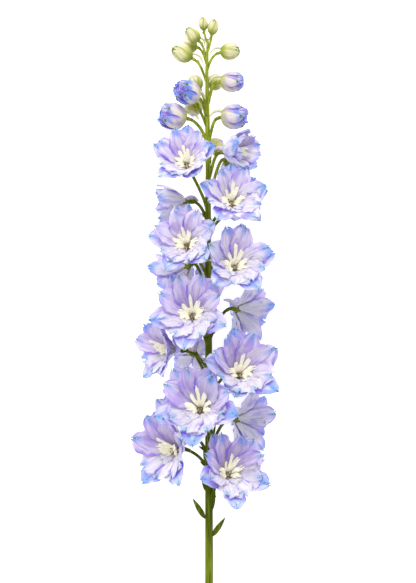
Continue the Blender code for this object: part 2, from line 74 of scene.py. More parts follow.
# A face whose upward share is less than this looks down
FACES_DOWN = -0.5

Colour = tuple[float, float, float]
Socket = Any


def srgb(red: int, green: int, blue: int) -> Colour:
    """Turns a colour of 0 to 255 a channel into the linear one that shaders take."""
    return tuple(
        c / 12.92 if c <= 0.04045 else ((c + 0.055) / 1.055) ** 2.4
        for c in (red / 255.0, green / 255.0, blue / 255.0)
    )


class Kind(Enum):
    """The kinds of petal, from the outside in."""

    OUTER = "outer"
    UPPER = "upper"
    LOWER = "lower"
    FRILL = "frill"


@dataclass(frozen=True)
class FlowerPlan:
    """Where an open flower sits, which way it faces, and how its petals stand.

    The cup is how far the petals lean out, the roll turns them round the flower's axis, the bend
    is how far the spur turns towards the tip of the spike, and the stalk is how much lower than
    the flower it leaves the stem.
    """

    name: str
    across: float
    along: float
    lift: float
    face: tuple[float, float, float]
    length: float
    cup: float = 54.0
    roll: float = 0.0
    bend: float = 88.0
    stalk: float = 22.0

    @property
    def half_open(self) -> bool:
        """Whether the flower is only half open."""
        return self.cup < HALF_OPEN_CUP


@dataclass(frozen=True)
class BudPlan:
    """Where a closed bud sits, which way it points, its size, its stalk's rise and its spur.

    How coloured it is runs from 0 for a green bud to 1.
    """

    name: str
    across: float
    along: float
    lift: float
    face: tuple[float, float, float]
    length: float
    width: float
    stalk: float
    tail: float = 0.0
    coloured: float = 0.0

    @property
    def ripe(self) -> bool:
        """Whether the bud is about to open, with a crumpled mouth."""
        return self.coloured > 0.25

    @property
    def colour_and_painted_lift(self) -> float:
        """How coloured it is; a green bud that faces down takes 0.7 instead, which paints it
        paler:
        partly its own paler green and partly painted light that lifts the shade it lies in.
        """
        return self.coloured or (0.7 if self.face[2] < FACES_DOWN else 0.0)


Plan = FlowerPlan | BudPlan

# The open flowers: name, across, along, lift, face, petals' length, cup, roll, bend and stalk
FLOWERS = (
    FlowerPlan("front_1", -14.6, 311.0, 14.0, (-0.26, 0.52, 0.81), 30.0, 50.0, stalk=30.0),
    FlowerPlan("front_2", 16.4, 283.0, 14.0, (0.16, 0.48, 0.86), 29.0, 55.0),
    FlowerPlan("front_3", -15.0, 251.5, 14.5, (-0.24, 0.34, 0.91), 30.5, 53.0, 12.0),
    FlowerPlan("front_4", 18.5, 235.2, 14.5, (0.19, 0.40, 0.90), 32.5, 54.0, -8.0),
    FlowerPlan("front_5", -11.2, 199.2, 17.0, (-0.17, 0.30, 0.94), 34.0, 57.0, 32.0),
    FlowerPlan("front_6", 21.2, 154.5, 14.5, (0.30, 0.42, 0.86), 35.0, 55.0, 10.0),
    FlowerPlan("front_7", -5.0, 129.2, 19.0, (-0.22, 0.32, 0.92), 36.0, 60.0, 36.0),
    FlowerPlan("front_8", -22.0, 99.8, 9.0, (-0.68, -0.02, 0.73), 35.0, 56.0, 0.0, 0.0, 15.0),
    FlowerPlan("front_9", 12.0, 80.6, 16.0, (0.44, 0.30, 0.84), 32.5, 60.0, 30.0),
    FlowerPlan("side_1", -25.5, 174.8, 0.0, (-0.86, 0.02, 0.50), 29.0, 52.0, 0.0, -40.0, 15.0),
    FlowerPlan("side_2", 20.9, 205.1, -3.0, (0.67, -0.20, -0.72), 27.0, 53.0, 0.0, -10.0),
    FlowerPlan("side_3", 20.5, 122.1, -5.0, (0.72, -0.16, -0.68), 28.5, 54.0, 0.0, -10.0),
    FlowerPlan("half_1", -17.4, 286.3, -3.0, (-1.0, -0.06, 0.0), 24.0, 40.0, 0.0, -45.0, 14.0),
    FlowerPlan("half_2", 12.5, 323.4, 2.0, (0.84, 0.06, 0.60), 26.0, 41.0, 0.0, -30.0, 19.0),
    FlowerPlan("half_3", 13.9, 316.0, -12.0, (0.42, -0.38, -0.82), 21.0, 40.0, stalk=26.0),
    FlowerPlan("back_1", -13.9, 263.5, -11.0, (-0.50, 0.10, -0.85), 24.0, 50.0, 20.0),
    FlowerPlan("back_2", 20.5, 287.0, -10.0, (0.50, 0.10, -0.85), 23.0, 50.0),
    FlowerPlan("back_3", -15.5, 237.4, -9.0, (-0.62, -0.42, -0.66), 28.0, 52.0, 0.0, 60.0),
    FlowerPlan("back_4", 3.0, 238.0, -14.0, (0.20, 0.0, -1.0), 26.0, 50.0, 36.0),
    FlowerPlan("back_5", -11.5, 172.0, -15.0, (-0.18, 0.10, -1.0), 21.0, 46.0, 0.0, 110.0),
    FlowerPlan("back_6", 20.0, 160.0, -11.0, (0.42, 0.05, -0.90), 25.0, 50.0, 15.0),
    FlowerPlan("back_7", -19.0, 118.0, -10.0, (-0.36, 0.10, -0.93), 27.0, 50.0, 30.0),
)

# The buds: name, across, along, lift, face, length, width, stalk's rise, spur and colour
BUDS = (
    BudPlan("bud_01", -3.4, 415.2, -4.0, (-0.13, 1.0, 0.10), 10.1, 6.6, 9.0),
    BudPlan("bud_02", 2.4, 411.8, -3.0, (0.18, 1.0, 0.10), 12.0, 7.9, 12.0),
    BudPlan("bud_03", -7.3, 407.0, 0.0, (-0.72, 0.69, 0.15), 13.4, 10.0, 14.0, 9.0),
    BudPlan("bud_04", -9.2, 402.5, -9.0, (-0.80, 0.20, -0.58), 12.0, 10.0, 12.0),
    BudPlan("bud_05", -12.5, 394.0, 0.0, (-0.90, 0.44, 0.12), 16.7, 12.6, 17.0, 13.5),
    BudPlan("bud_06", 9.1, 398.2, 0.0, (0.99, 0.14, 0.12), 14.7, 12.8, 12.0, 12.0),
    BudPlan("bud_07", 9.1, 376.2, 0.0, (1.0, 0.02, 0.15), 18.0, 15.2, 16.0, 13.0, 0.3),
    BudPlan("bud_08", -8.3, 364.6, 4.0, (-0.74, 0.33, 0.58), 21.0, 18.0, 17.0, 12.0, 1.0),
    BudPlan("bud_09", -7.4, 372.0, -9.0, (-0.40, 0.62, -0.68), 13.0, 11.0, 14.0),
    BudPlan("bud_10", 3.0, 373.0, -9.0, (0.32, 0.55, -0.77), 13.0, 12.0, 14.0),
    BudPlan("bud_11", -17.0, 348.8, 0.0, (-0.96, 0.15, 0.25), 21.0, 20.0, 17.0, 15.0, 0.55),
    BudPlan("bud_12", 9.7, 349.5, 1.0, (0.98, 0.06, 0.20), 20.0, 18.6, 18.0, 14.0, 0.65),
    BudPlan("bud_13", 3.5, 327.5, -8.0, (0.25, 0.05, -0.95), 15.5, 13.0, 15.0, 0.0, 0.1),
    BudPlan("bud_14", -10.0, 359.0, -6.0, (-0.20, -0.20, -0.96), 15.0, 13.5, 16.0, 0.0, 0.2),
)

# The stem: how far up it, its sway to the right, its height over or under the axis, its radius
STEM_STATIONS = (
    (-25.0, 0.3, -2.0, 3.1),
    (20.0, 0.4, -1.0, 3.0),
    (75.0, 0.3, 0.0, 2.9),
    (135.0, 0.2, 0.3, 2.8),
    (200.0, 0.0, 0.0, 2.6),
    (260.0, -0.4, -0.6, 2.3),
    (310.0, -0.3, -1.5, 2.0),
    (350.0, -0.9, -2.6, 1.7),
    (385.0, -1.3, -3.8, 1.3),
    (409.0, -0.6, -4.6, 0.9),
)

# The small leaves: base and tip, across and along, the tip's height over the axis, and the width
LEAVES = (
    (-2.6, 48.0, -12.0, 63.3, 2.0, 3.4),
    (2.6, 34.5, 12.8, 49.1, 3.0, 3.4),
    (2.7, 54.0, 5.2, 69.0, 1.0, 1.9),
    (-2.6, 69.0, -5.4, 83.0, 2.0, 2.0),
    (2.6, 66.0, 6.6, 78.0, 2.5, 1.8),
    (-2.5, 90.0, -3.6, 104.5, 1.5, 1.8),
    (2.6, 108.0, 5.4, 119.0, 2.0, 1.7),
)

# How petals give way to a neighbour: by how many degrees they open, what of their length is left
GIVE_WAY = (
    (0, 1.0), (-8, 1.0), (8, 1.0), (-16, 1.0), (16, 1.0), (-24, 0.96), (-32, 0.96),
    (-8, 0.88), (8, 0.88), (-16, 0.88), (-24, 0.88), (-32, 0.88), (-40, 0.88),
    (0, 0.76), (-16, 0.76), (-32, 0.76), (-44, 0.76), (12, 0.76), (-20, 0.62), (-40, 0.62),
    (-50, 0.7), (0, 0.5), (-30, 0.5), (-50, 0.5),
)


def unit(vector: np.ndarray) -> np.ndarray:
    """The vector at a length of 1."""
    return vector / np.linalg.norm(vector)


def waves(place: np.ndarray, *parts: tuple[float, float, Any]) -> np.ndarray:
    """Waves laid over each other, each given by its height, its rate and its start."""
    return sum(height * np.sin(rate * place + start) for height, rate, start in parts)


def select(*pieces: bpy.types.Object) -> None:
    """Selects these pieces alone, because a modelling step acts on all that is selected.

    Args:
        pieces: The pieces, if any. The first one becomes the active one.
    """
    bpy.ops.object.select_all(action="DESELECT")
    for piece in pieces:
        piece.select_set(True)
    if pieces:
        bpy.context.view_layer.objects.active = pieces[0]


def added(operator: Callable[..., Any], name: str, **sizes: Any) -> bpy.types.Object:
    """Adds an object, with nothing else selected.

    Args:
        operator: The operator that adds it.
        name: The object's name.
        sizes: What the operator takes.

    Returns:
        The object.
    """
    select()
    operator(**sizes)
    bpy.context.object.name = name
    return bpy.context.object


def joined(pieces: Sequence[bpy.types.Object], name: str) -> bpy.types.Object:
    """Joins pieces into one object.

    Args:
        pieces: The objects to join. The first one's materials come first.
        name: The name of the joined object.

    Returns:
        The joined object.
    """
    select(*pieces)
    bpy.ops.object.join()
    made = bpy.context.object
    made.name = made.data.name = name
    return made


def thickened(piece: bpy.types.Object, thickness: float, back: int = 0) -> None:
    """Gives a sheet its thickness on both sides.

    Args:
        piece: The sheet.
        thickness: The whole thickness in millimetres.
        back: How many material slots further on the back's material lies.
    """
    select(piece)
    bpy.ops.object.modifier_add(type="SOLIDIFY")
    solidify = piece.modifiers[-1]
    solidify.thickness = thickness * MM
    solidify.offset = 0.0
    solidify.material_offset = back
    bpy.ops.object.modifier_apply(modifier=solidify.name)
    bpy.ops.object.shade_smooth_by_angle(angle=SMOOTH_BELOW)


def finished(piece: bpy.types.Object, nodes: Sequence[str]) -> bpy.types.Object:
    """Sets a finished piece on the spike's body in place of its CAD nodes.

    Args:
        piece: The piece, with its place in its mesh.
        nodes: The CAD nodes that it stands for.

    Returns:
        The piece.
    """
    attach(piece, BODY)
    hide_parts(*nodes)
    log.info("%s: %d faces", piece.name, len(piece.data.polygons))
    return piece


class Facing:
    """A flower's or a bud's own frame: its place, its axis and the directions across it."""

    def __init__(self, plan: Plan, roll: float = 0.0) -> None:
        """Sets the frame up.

        Args:
            plan: The flower or the bud.
            roll: How far its whorls are turned round its axis, in degrees.
        """
        self.origin = np.array((plan.across, plan.along, plan.lift))
        self.axis = unit(np.array(plan.face))
        along_stem = abs(self.axis[1]) > 0.95
        tipward = np.array((0.0, 0.0, 1.0) if along_stem else (0.0, 1.0, 0.0))
        self.top = unit(tipward - self.axis * tipward.dot(self.axis))
        self.side = np.cross(self.top, self.axis)
        self.roll = math.radians(roll)

    def outward(self, azimuth: Any) -> np.ndarray:
        """The direction away from the axis at an azimuth in degrees, 90 at the top."""
        turn, outer = np.radians(azimuth) + self.roll, np.multiply.outer
        return outer(np.cos(turn), self.side) + outer(np.sin(turn), self.top)

    def points(self, azimuth: Any, radius: np.ndarray, height: np.ndarray) -> np.ndarray:
        """Points at these distances from the axis and along it, in the spike's millimetres."""
        out = self.outward(azimuth)
        return self.origin + out * radius[..., None] + self.axis * height[..., None]

    def stations(self, heights: Sequence[float]) -> list[np.ndarray]:
        """Points on the axis at these heights."""
        return [self.origin + self.axis * height for height in heights]


@dataclass(frozen=True)
class Blank:
    """A flat grid that every petal, lobe, sepal and leaf is a shaped copy of.

    Across runs from -1 to 1 over its width and along from 0 to 1 over its length.
    """

    mesh: bpy.types.Mesh
    across: np.ndarray
    along: np.ndarray

    @classmethod
    def cut(cls, columns: int, rows: int) -> "Blank":
        """Makes a blank.

        Args:
            columns: How many cells it has over its width.
            rows: How many cells it has over its length.

        Returns:
            The blank, whose mesh has no object.
        """
        grid = bpy.ops.mesh.primitive_grid_add
        made = added(grid, "blank", x_subdivisions=columns, y_subdivisions=rows, size=2.0)
        mesh = made.data
        mesh.uv_layers[0].name = "Petal"
        flat = np.empty(len(mesh.vertices) * 3)
        mesh.vertices.foreach_get("co", flat)
        flat = flat.reshape(-1, 3)
        bpy.data.objects.remove(made)
        return cls(mesh, flat[:, 0].copy(), 0.5 * flat[:, 1] + 0.5)

    def copy(
        self,
        name: str,
        points: np.ndarray,
        finishes: Sequence[bpy.types.Material],
        tone: float = 0.5,
        slot: int = 0,
        low: float = 0.0,
    ) -> bpy.types.Object:
        """Makes a shaped copy of the blank.

        Args:
            name: The copy's name.
            points: Its points, in the spike's millimetres.
            finishes: The materials of its whole piece, which joining sheets keeps apart.
            tone: A number from 0 to 1 that its material varies by.
            slot: The material slot that its faces take.
            low: How far down its flower it stands, from 0 at the top to 1; on a bud, how coloured
                it is, and on a green bud that faces down, how much paler its sepals are painted,
                partly as painted light that lifts their shade.

        Returns:
            The copy, with its own mesh.
        """
        mesh = self.mesh.copy()
        mesh.vertices.foreach_set("co", ((points - ORIGIN) * MM).ravel())
        for title, number in (("Tone", tone), ("Low", low)):
            layer = mesh.attributes.new(title, "FLOAT", "POINT")
            layer.data.foreach_set("value", np.full(len(mesh.vertices), number, np.float32))
        for material in finishes:
            mesh.materials.append(material)
        mesh.polygons.foreach_set("material_index", np.full(len(mesh.polygons), slot))
        mesh.update()
        made = bpy.data.objects.new(name, mesh)
        bpy.context.scene.collection.objects.link(made)
        return made


@dataclass(frozen=True)
class Cut:
    """How one kind of petal is cut and waved.

    The widest place and all widths are shares, and waves are in millimetres. The waist and the
    point are how full it is below and above its widest place. The end is what is left of the
    width at the tip, the fall is how far the tip's corners fall back, the jag is how deep its
    teeth are, and the notch how deep the dent is. The frill waves the margins, the pleat folds
    the middle, the keel lifts both sides, and the wrap is how closely it follows the cone of its
    whorl. The hook is how far the tip bends in towards the flower's axis, and the claw is half
    the foot's width.
    """

    widest: float
    waist: float
    point: float
    end: float
    fall: float
    jag: float
    notch: float
    frill: float
    wrap: float
    pleat: float
    keel: float
    hook: float = 0.0
    claw: float = 1.3


# Widest, waist, point, end, fall, jag, notch, frill, wrap, pleat, keel, hook and claw
CUTS = {
    Kind.OUTER: Cut(0.62, 1.40, 2.1, 0.12, 0.02, 0.040, 0.00, 1.00, 0.5, 0.16, 0.12, 0.8),
    Kind.UPPER: Cut(0.62, 1.25, 2.1, 0.20, 0.06, 0.055, 0.03, 0.90, 0.5, 0.20, 0.10, 0.3),
    Kind.LOWER: Cut(0.72, 1.00, 2.6, 0.52, 0.15, 0.075, 0.05, 0.65, 0.3, 0.22, 0.06, -0.4),
    Kind.FRILL: Cut(0.74, 0.90, 2.6, 0.55, 0.10, 0.080, 0.08, 0.60, 0.4, 0.18, 0.03, -0.8),
}
STRAP = Cut(0.78, 1.50, 2.6, 0.72, 0.02, 0.10, 0.30, 0.50, 0.2, 0.10, 0.25, 0.6, 0.45)
TUFT = Cut(0.80, 2.20, 3.0, 0.80, 0.05, 0.24, 0.36, 0.90, 0.2, 0.30, 0.10, -1.6, 0.40)


@dataclass(frozen=True)
class Petal:
    """One petal: its place in its whorl, its size, and how it leans out along its length."""

    azimuth: float
    length: float
    width: float
    start: float
    end: float
    root_radius: float
    root_height: float
    cut: Cut
    seed: str
    twist: float = 0.06

    def bent(self, turn: float, share: float) -> "Petal":
        """The petal opened further and cut shorter.

        Args:
            turn: How many degrees further its tip leans out.
            share: What is left of its length.

        Returns:
            The bent petal.
        """
        return replace(
            self,
            length=self.length * share,
            width=self.width * (0.5 + 0.5 * share),
            start=self.start + 0.5 * turn,
            end=self.end + turn,
        )

    def spine(self, u: np.ndarray) -> tuple[np.ndarray, np.ndarray, np.ndarray]:
        """The line that the petal's middle follows.

        Args:
            u: Shares of its length.

        Returns:
            Its lean, its distance from the axis and its height there.
        """
        first, last = math.radians(self.start), math.radians(self.end)
        swing = last - first if abs(last - first) > 1e-4 else 1e-4
        lean = first + swing * u
        radius = self.root_radius + self.length * (math.cos(first) - np.cos(lean)) / swing
        height = self.root_height + self.length * (np.sin(lean) - math.sin(first)) / swing
        return lean, radius, height

    def half_width(self, u: np.ndarray) -> np.ndarray:
        """Half the petal's width.

        Args:
            u: Shares of its length.

        Returns:
            Half its width there, in millimetres.
        """
        cut = self.cut
        rising = np.sin(0.5 * math.pi * np.clip(u / cut.widest, 0.0, 1.0)) ** cut.waist
        past = np.clip((u - cut.widest) / (1.0 - cut.widest), 0.0, 1.0)
        falling = cut.end + (1.0 - cut.end) * (1.0 - past ** cut.point) ** 0.75
        return cut.claw * (1.0 - u) + 0.5 * self.width * np.where(u < cut.widest, rising, falling)

    def sheet(self, facing: Facing, blank: Blank) -> np.ndarray:
        """The petal's points.

        Args:
            facing: The flower's frame.
            blank: The blank that it is cut from.

        Returns:
            The points in the spike's millimetres, none under the table.
        """
        cut, x, y = self.cut, blank.across, blank.along
        rng = random.Random(self.seed)
        phase = [rng.uniform(0.0, 2.0 * math.pi) for _ in range(10)]
        teeth = waves(x, (0.6, 6.0, phase[0]), (0.4, 13.0, phase[1]), (0.35, 21.0, phase[2]))
        dent = np.exp(-(((x - rng.uniform(-0.25, 0.25)) / 0.13) ** 2))
        fall = cut.fall * np.abs(x) ** 2.4 + cut.jag * teeth + cut.notch * dent
        u = y * (1.0 - fall * y ** 3)
        lean, radius, height = self.spine(u)
        turn = phase[3] + 1.9 * np.sign(x)
        wavy = waves(y, (1.0, 13.0, turn), (0.8, 31.0, 2.3 * turn))
        bulge = 1.0 + (0.035 + 0.9 * cut.jag) * wavy * y * np.abs(x)
        sway = rng.uniform(-0.08, 0.08) * self.width * u ** 2
        aside = sway - x * self.half_width(u) * bulge
        curl = cut.wrap * np.cos(lean) / (2.0 * (radius + 1.0))
        margin = np.abs(x) ** 3 * np.minimum(1.0, 2.5 * u)
        ripple = waves(u, (1.0, 13.0, 2.0 * np.sign(x) + phase[4]), (0.8, 27.0, phase[5]))
        end = np.clip((u - 0.6) / 0.4, 0.0, 1.0) ** 1.5
        scallop = waves(x, (1.0, 7.0, phase[6]), (0.5, 13.0, phase[7]))
        rise = (
            self.twist * np.minimum(1.0, 3.0 * u) * aside
            + curl * aside ** 2
            + cut.keel * (np.sqrt(aside ** 2 + 0.5) - 0.7)
            + cut.frill * (0.45 * margin * ripple + 0.6 * end * scallop)
            + cut.pleat * np.sin(13.0 * x + phase[8]) * np.sin(math.pi * u)
            + cut.hook * np.clip((u - 0.65) / 0.35, 0.0, 1.0) ** 2
        )
        out = facing.outward(self.azimuth)
        across = np.cross(facing.axis, out)
        normal = np.sin(lean)[:, None] * facing.axis - np.cos(lean)[:, None] * out
        points = facing.points(self.azimuth, radius, height)
        points = points + aside[:, None] * across + rise[:, None] * normal
        points[:, 2] = np.maximum(points[:, 2], ORIGIN[2] + TABLE_GAP)
        return points


class Shader:
    """A procedural material and short ways to wire its nodes."""

    def __init__(self, name: str) -> None:
        """Starts a material with a bare Principled shader.

        Args:
            name: The material's name.
        """
        self.material = bpy.data.materials.new(name)
        self.material.use_nodes = True
        self.tree = self.material.node_tree
        self.surface = self.tree.nodes["Principled BSDF"]

    def give(self, node: bpy.types.Node, inputs: dict[int | str, Any]) -> None:
        """Links a node's inputs or sets them.

        Args:
            node: The node.
            inputs: What each input takes, by its place or its name: another node's output, a
                number, a vector or a colour.
        """
        for key, given in inputs.items():
            socket = node.inputs[key]
            if isinstance(given, bpy.types.NodeSocket):
                self.tree.links.new(given, socket)
            else:
                socket.default_value = (*given, 1.0) if socket.type == "RGBA" else given

    def node(self, kind: str, inputs: dict[int | str, Any], **settings: str) -> bpy.types.Node:
        """Adds a node.

        Args:
            kind: Its type, without ShaderNode in front.
            inputs: What each input takes.
            settings: The node's own settings.

        Returns:
            The node.
        """
        made = self.tree.nodes.new(f"ShaderNode{kind}")
        for name, choice in settings.items():
            setattr(made, name, choice)
        self.give(made, inputs)
        return made

    def math(self, operation: str, *values: Any) -> Socket:
        """A math node's result."""
        return self.node("Math", dict(enumerate(values)), operation=operation).outputs[0]

    def times(self, product: Any, *others: Any) -> Socket:
        """The product of values.

        Args:
            product: The first value.
            others: The other ones.

        Returns:
            Their product.
        """
        for other in others:
            product = self.math("MULTIPLY", product, other)
        return product

    def line(self, given: Any, slope: float, start: Any) -> Socket:
        """A value times a slope, plus a start."""
        return self.math("MULTIPLY_ADD", given, slope, start)

    def between(self, given: Socket, low: float, high: float) -> Socket:
        """Rises smoothly from 0 to 1 as a value goes from low to high, or falls if low is more.

        Args:
            given: The value.
            low: Where the result is 0.
            high: Where it is 1.

        Returns:
            The result.
        """
        inputs = {"Value": given, "From Min": min(low, high), "From Max": max(low, high)}
        inputs |= {"To Min": float(low > high), "To Max": float(low < high)}
        return self.node("MapRange", inputs, interpolation_type="SMOOTHSTEP").outputs["Result"]

    def mix(self, share: Any, first: Any, second: Any) -> Socket:
        """A colour between two others, which the Mix node takes at its inputs 6 and 7."""
        return self.node("Mix", {0: share, 6: first, 7: second}, data_type="RGBA").outputs[2]

    def layered(self, colour: Any, layers: Sequence[tuple[Any, Any]]) -> Socket:
        """Lays colours over each other.

        Args:
            colour: The lowest one.
            layers: The share and the colour of each one above it.

        Returns:
            The colour that shows.
        """
        for share, over in layers:
            colour = self.mix(share, colour, over)
        return colour

    def ramp(self, given: Socket, stops: Sequence[tuple[float, Colour]]) -> Socket:
        """A colour that follows a value.

        Args:
            given: The value, from 0 to 1.
            stops: Some of its values and their colours.

        Returns:
            The colour.
        """
        node = self.node("ValToRGB", {"Fac": given})
        elements = node.color_ramp.elements
        while len(elements) < len(stops):
            elements.new(1.0)
        for element, (place, colour) in zip(elements, stops):
            element.position, element.color = place, (*colour, 1.0)
        return node.outputs["Color"]

    def attribute(self, name: str) -> Socket:
        """A number that the mesh carries."""
        return self.node("Attribute", {}, attribute_name=name).outputs["Fac"]

    def split(self, vector: Socket) -> tuple[Socket, ...]:
        """A vector's three numbers."""
        return tuple(self.node("SeparateXYZ", {0: vector}).outputs)

    def blank(self) -> tuple[Socket, Socket, Socket, Socket]:
        """The place on a blank's copy from 0 to 1, across, along and off its midrib; its tone."""
        x, y, _ = self.split(self.node("UVMap", {}, uv_map="Petal").outputs["UV"])
        return x, y, self.math("ABSOLUTE", self.line(x, 2.0, -1.0)), self.attribute("Tone")

    def place(self) -> tuple[Socket, ...]:
        """The part's own coordinates, in metres."""
        return self.split(self.node("TexCoord", {}).outputs["Object"])

    def noise(
        self, *ways: tuple[Socket, float], detail: float = 2.0, roughness: float = 0.5
    ) -> Socket:
        """Noise from 0 to 1.

        Args:
            ways: The value in each of three directions, and its number of cells for each 1.
            detail: How many finer layers it has.
            roughness: How strong those are.

        Returns:
            The noise.
        """
        scaled = [self.times(given, cells) for given, cells in ways]
        where = self.node("CombineXYZ", dict(enumerate(scaled))).outputs[0]
        inputs = {"Vector": where, "Scale": 1.0, "Detail": detail, "Roughness": roughness}
        return self.node("TexNoise", inputs).outputs["Fac"]

    def spot(self, x: Socket, y: Socket, centre: tuple[float, float], size: Colour) -> Socket:
        """A soft spot on a blank: 1 inside, 0 outside.

        Args:
            x: The place across, from 0 to 1.
            y: The place along, from 0 to 1.
            centre: The spot's middle.
            size: Its half width, its half length, and how soft its edge is.

        Returns:
            The spot's strength.
        """
        squares = 0.0
        for given, middle, half in zip((x, y), centre, size):
            away = self.times(self.math("SUBTRACT", given, middle), 1.0 / half)
            squares = self.math("MULTIPLY_ADD", away, away, squares)
        return self.between(self.math("SQRT", squares), 1.0 + size[2], 1.0 - size[2])

    def relief(self, height: Socket, distance: float, strength: float = 0.6) -> None:
        """Raises the surface's look by a height from 0 to 1, over a distance in millimetres."""
        inputs = {"Distance": distance * MM, "Strength": strength, "Height": height}
        self.give(self.surface, {"Normal": self.node("Bump", inputs).outputs["Normal"]})

    def lit(self, colour: Colour, strength: float) -> None:
        """Adds a faint even glow that the surface gives off: painted light on petals and lobes,
        which stands in for light through thin tissue and lifts their shade, and an even brightness
        on the table.
        """
        self.give(self.surface, {"Emission Color": colour, "Emission Strength": strength})

    def finish(
        self, colour: Socket, roughness: float, glow: float, sheen: float, shine: float = 0.3
    ) -> bpy.types.Material:
        """Sets the surface.

        Args:
            colour: Its colour.
            roughness: Its roughness.
            glow: How much light goes into it and comes out again nearby, from 0 to 1.
            sheen: Its soft sheen at a grazing angle.
            shine: How strongly it mirrors.

        Returns:
            The material.
        """
        looks = {"Base Color": colour, "Roughness": roughness, "Specular IOR Level": shine}
        looks |= {"Subsurface Weight": glow, "Subsurface Radius": (1.0, 0.85, 1.1)}
        looks |= {"Subsurface Scale": 1.3 * MM, "Sheen Weight": sheen, "Sheen Roughness": 0.5}
        self.give(self.surface, looks)
        return self.material


@dataclass(frozen=True)
class PetalFinish:
    """The colours of one side of one kind of petal, from its claw to its tip.

    The upper body's colour is that of the petals at the flower's top, and the lower one's that
    of those at its foot. The upper one is mauver and darker: partly the petals' own tone and
    partly painted shade on the upper petals, which lean away from the light. The throat colour
    at the claw is on the backs their own greenish cream, and on the faces partly their own
    mauve-grey and partly painted shade of the cup round the eye. The fade is how much less blue
    the tips of the lower ones are, and the wedge is how much further the blue comes down at the
    margins than along the midrib. The edge colour is partly the petals' own violet margin and
    partly painted shade where petals overlap. The frill_shade colours and share are painted
    shade under a frill. The band tint makes the upper petals of the flowers on one stretch of
    the stem more violet, between the places in metres where it fades in and out. The lit share
    is a faint painted glow in the frill_shade violet, which fills the petals' shade. Cells are
    those of the noise, over a petal's width and its length.
    """

    name: str
    throat: Colour
    upper: Colour
    lower: Colour
    cloud: Colour
    edge: Colour
    tip: Colour
    vein: Colour
    tip_from: float
    tip_share: float
    edge_and_shade_share: float
    vein_share: float
    spots: float
    fade: float
    wedge: float
    frill_shade: float = 0.0
    midrib: Colour | None = None
    band_share: float = 0.24
    green: Colour = srgb(66, 140, 112)
    halo: Colour = srgb(112, 164, 234)
    frill_shade_blue: Colour = srgb(116, 144, 246)
    frill_shade_violet: Colour = srgb(134, 106, 240)
    band_tint: Colour = srgb(130, 98, 188)
    band_places: tuple[tuple[float, float], ...] = ((0.055, 0.0), (-0.14, -0.105))
    cloud_cells: tuple[float, float] = (2.6, 2.8)
    vein_cells: tuple[float, float] = (15.0, 1.2)
    thread_cells: tuple[float, float] = (42.0, 2.2)
    shift: float = 37.0
    lit: float = 0.02

    @cached_property
    def material(self) -> bpy.types.Material:
        """Builds the material at its first use.

        Returns:
            The material.
        """
        shader = Shader(self.name)
        times, line, between = shader.times, shader.line, shader.between
        x, y, edge, tone = shader.blank()
        low = shader.attribute("Low")
        clouds, veins, threads = (
            shader.noise((x, across), (y, along), (tone, self.shift))
            for across, along in (self.cloud_cells, self.vein_cells, self.thread_cells)
        )
        faded = line(low, -0.35, 1.0)
        layers = [
            (times(between(clouds, 0.46, 0.66), line(low, -0.7, 1.0)), self.cloud),
            (times(between(veins, 0.52, 0.68), self.vein_share, faded), self.vein),
            (times(between(threads, 0.54, 0.68), 0.8 * self.vein_share, faded), self.vein),
        ]
        # Painted shade under the frill on the lower sepals, blue turning violet towards the claw
        if self.frill_shade:
            shade = times(between(y, 1.02, 0.70), low, between(clouds, 0.30, 0.52), self.frill_shade)
            frill_shade = shader.mix(between(y, 0.84, 0.60), self.frill_shade_blue, self.frill_shade_violet)
            layers.append((shade, frill_shade))
        reach = line(clouds, 0.45, line(edge, self.wedge, y))
        reach = line(tone, 0.24, shader.math("ADD", reach, -0.12))
        blue = between(reach, self.tip_from, self.tip_from + 0.30)
        layers.append((times(blue, line(low, -self.fade, 1.0), self.tip_share), self.tip))
        # Violet at the margins towards the claw: partly the petals' own violet margin, partly
        # painted shade in the creases where they overlap
        margin_and_crease_shade = times(between(line(clouds, 0.70, edge), 1.14, 1.40), between(y, 0.05, 0.3))
        layers.append((times(margin_and_crease_shade, between(y, 1.0, 0.55), self.edge_and_shade_share), self.edge))
        # A thin violet line along the margins: partly the petals' own, partly painted shade where
        # petals overlap
        edge_line_and_overlap_shade = times(between(edge, 0.84, 0.97), between(y, 0.96, 0.6), line(low, -0.5, 1.0))
        edge_line_and_overlap_shade = times(edge_line_and_overlap_shade, between(clouds, 0.36, 0.60), 0.7 * self.edge_and_shade_share)
        # The claw's colour: on the backs their own greenish cream, on the faces partly their own
        # mauve-grey and partly painted shade of the cup round the eye
        layers += [(edge_line_and_overlap_shade, self.edge), (times(between(y, 0.36, 0.08), faded), self.throat)]
        # A more violet tint over the upper petals of the flowers on one stretch of the stem,
        # fading in and out at its ends
        if self.band_share:
            along = shader.place()[1]
            in_band = times(*(between(along, start, end) for start, end in self.band_places))
            layers.append((times(in_band, line(low, -0.9, 1.0), self.band_share), self.band_tint))
        if self.midrib:
            rib = between(shader.math("DIVIDE", edge, line(y, -0.16, 0.22)), 1.0, 0.25)
            layers.append((times(rib, between(y, 1.05, 0.35), 0.75), self.midrib))
        layers += self.dots(shader, x, y, tone)
        # Mauver upper petals and paler lower ones: partly the petals' own tones, partly painted
        # shade on the upper petals, which lean away from the light
        colour = shader.layered(shader.mix(low, self.upper, self.lower), layers)
        shader.relief(veins, 0.5)
        # A faint violet glow: painted light that fills the petals' shade with violet, in place of
        # light through thin petals
        shader.lit(self.frill_shade_violet, self.lit)
        return shader.finish(colour, 0.55, 0.6, 0.1)

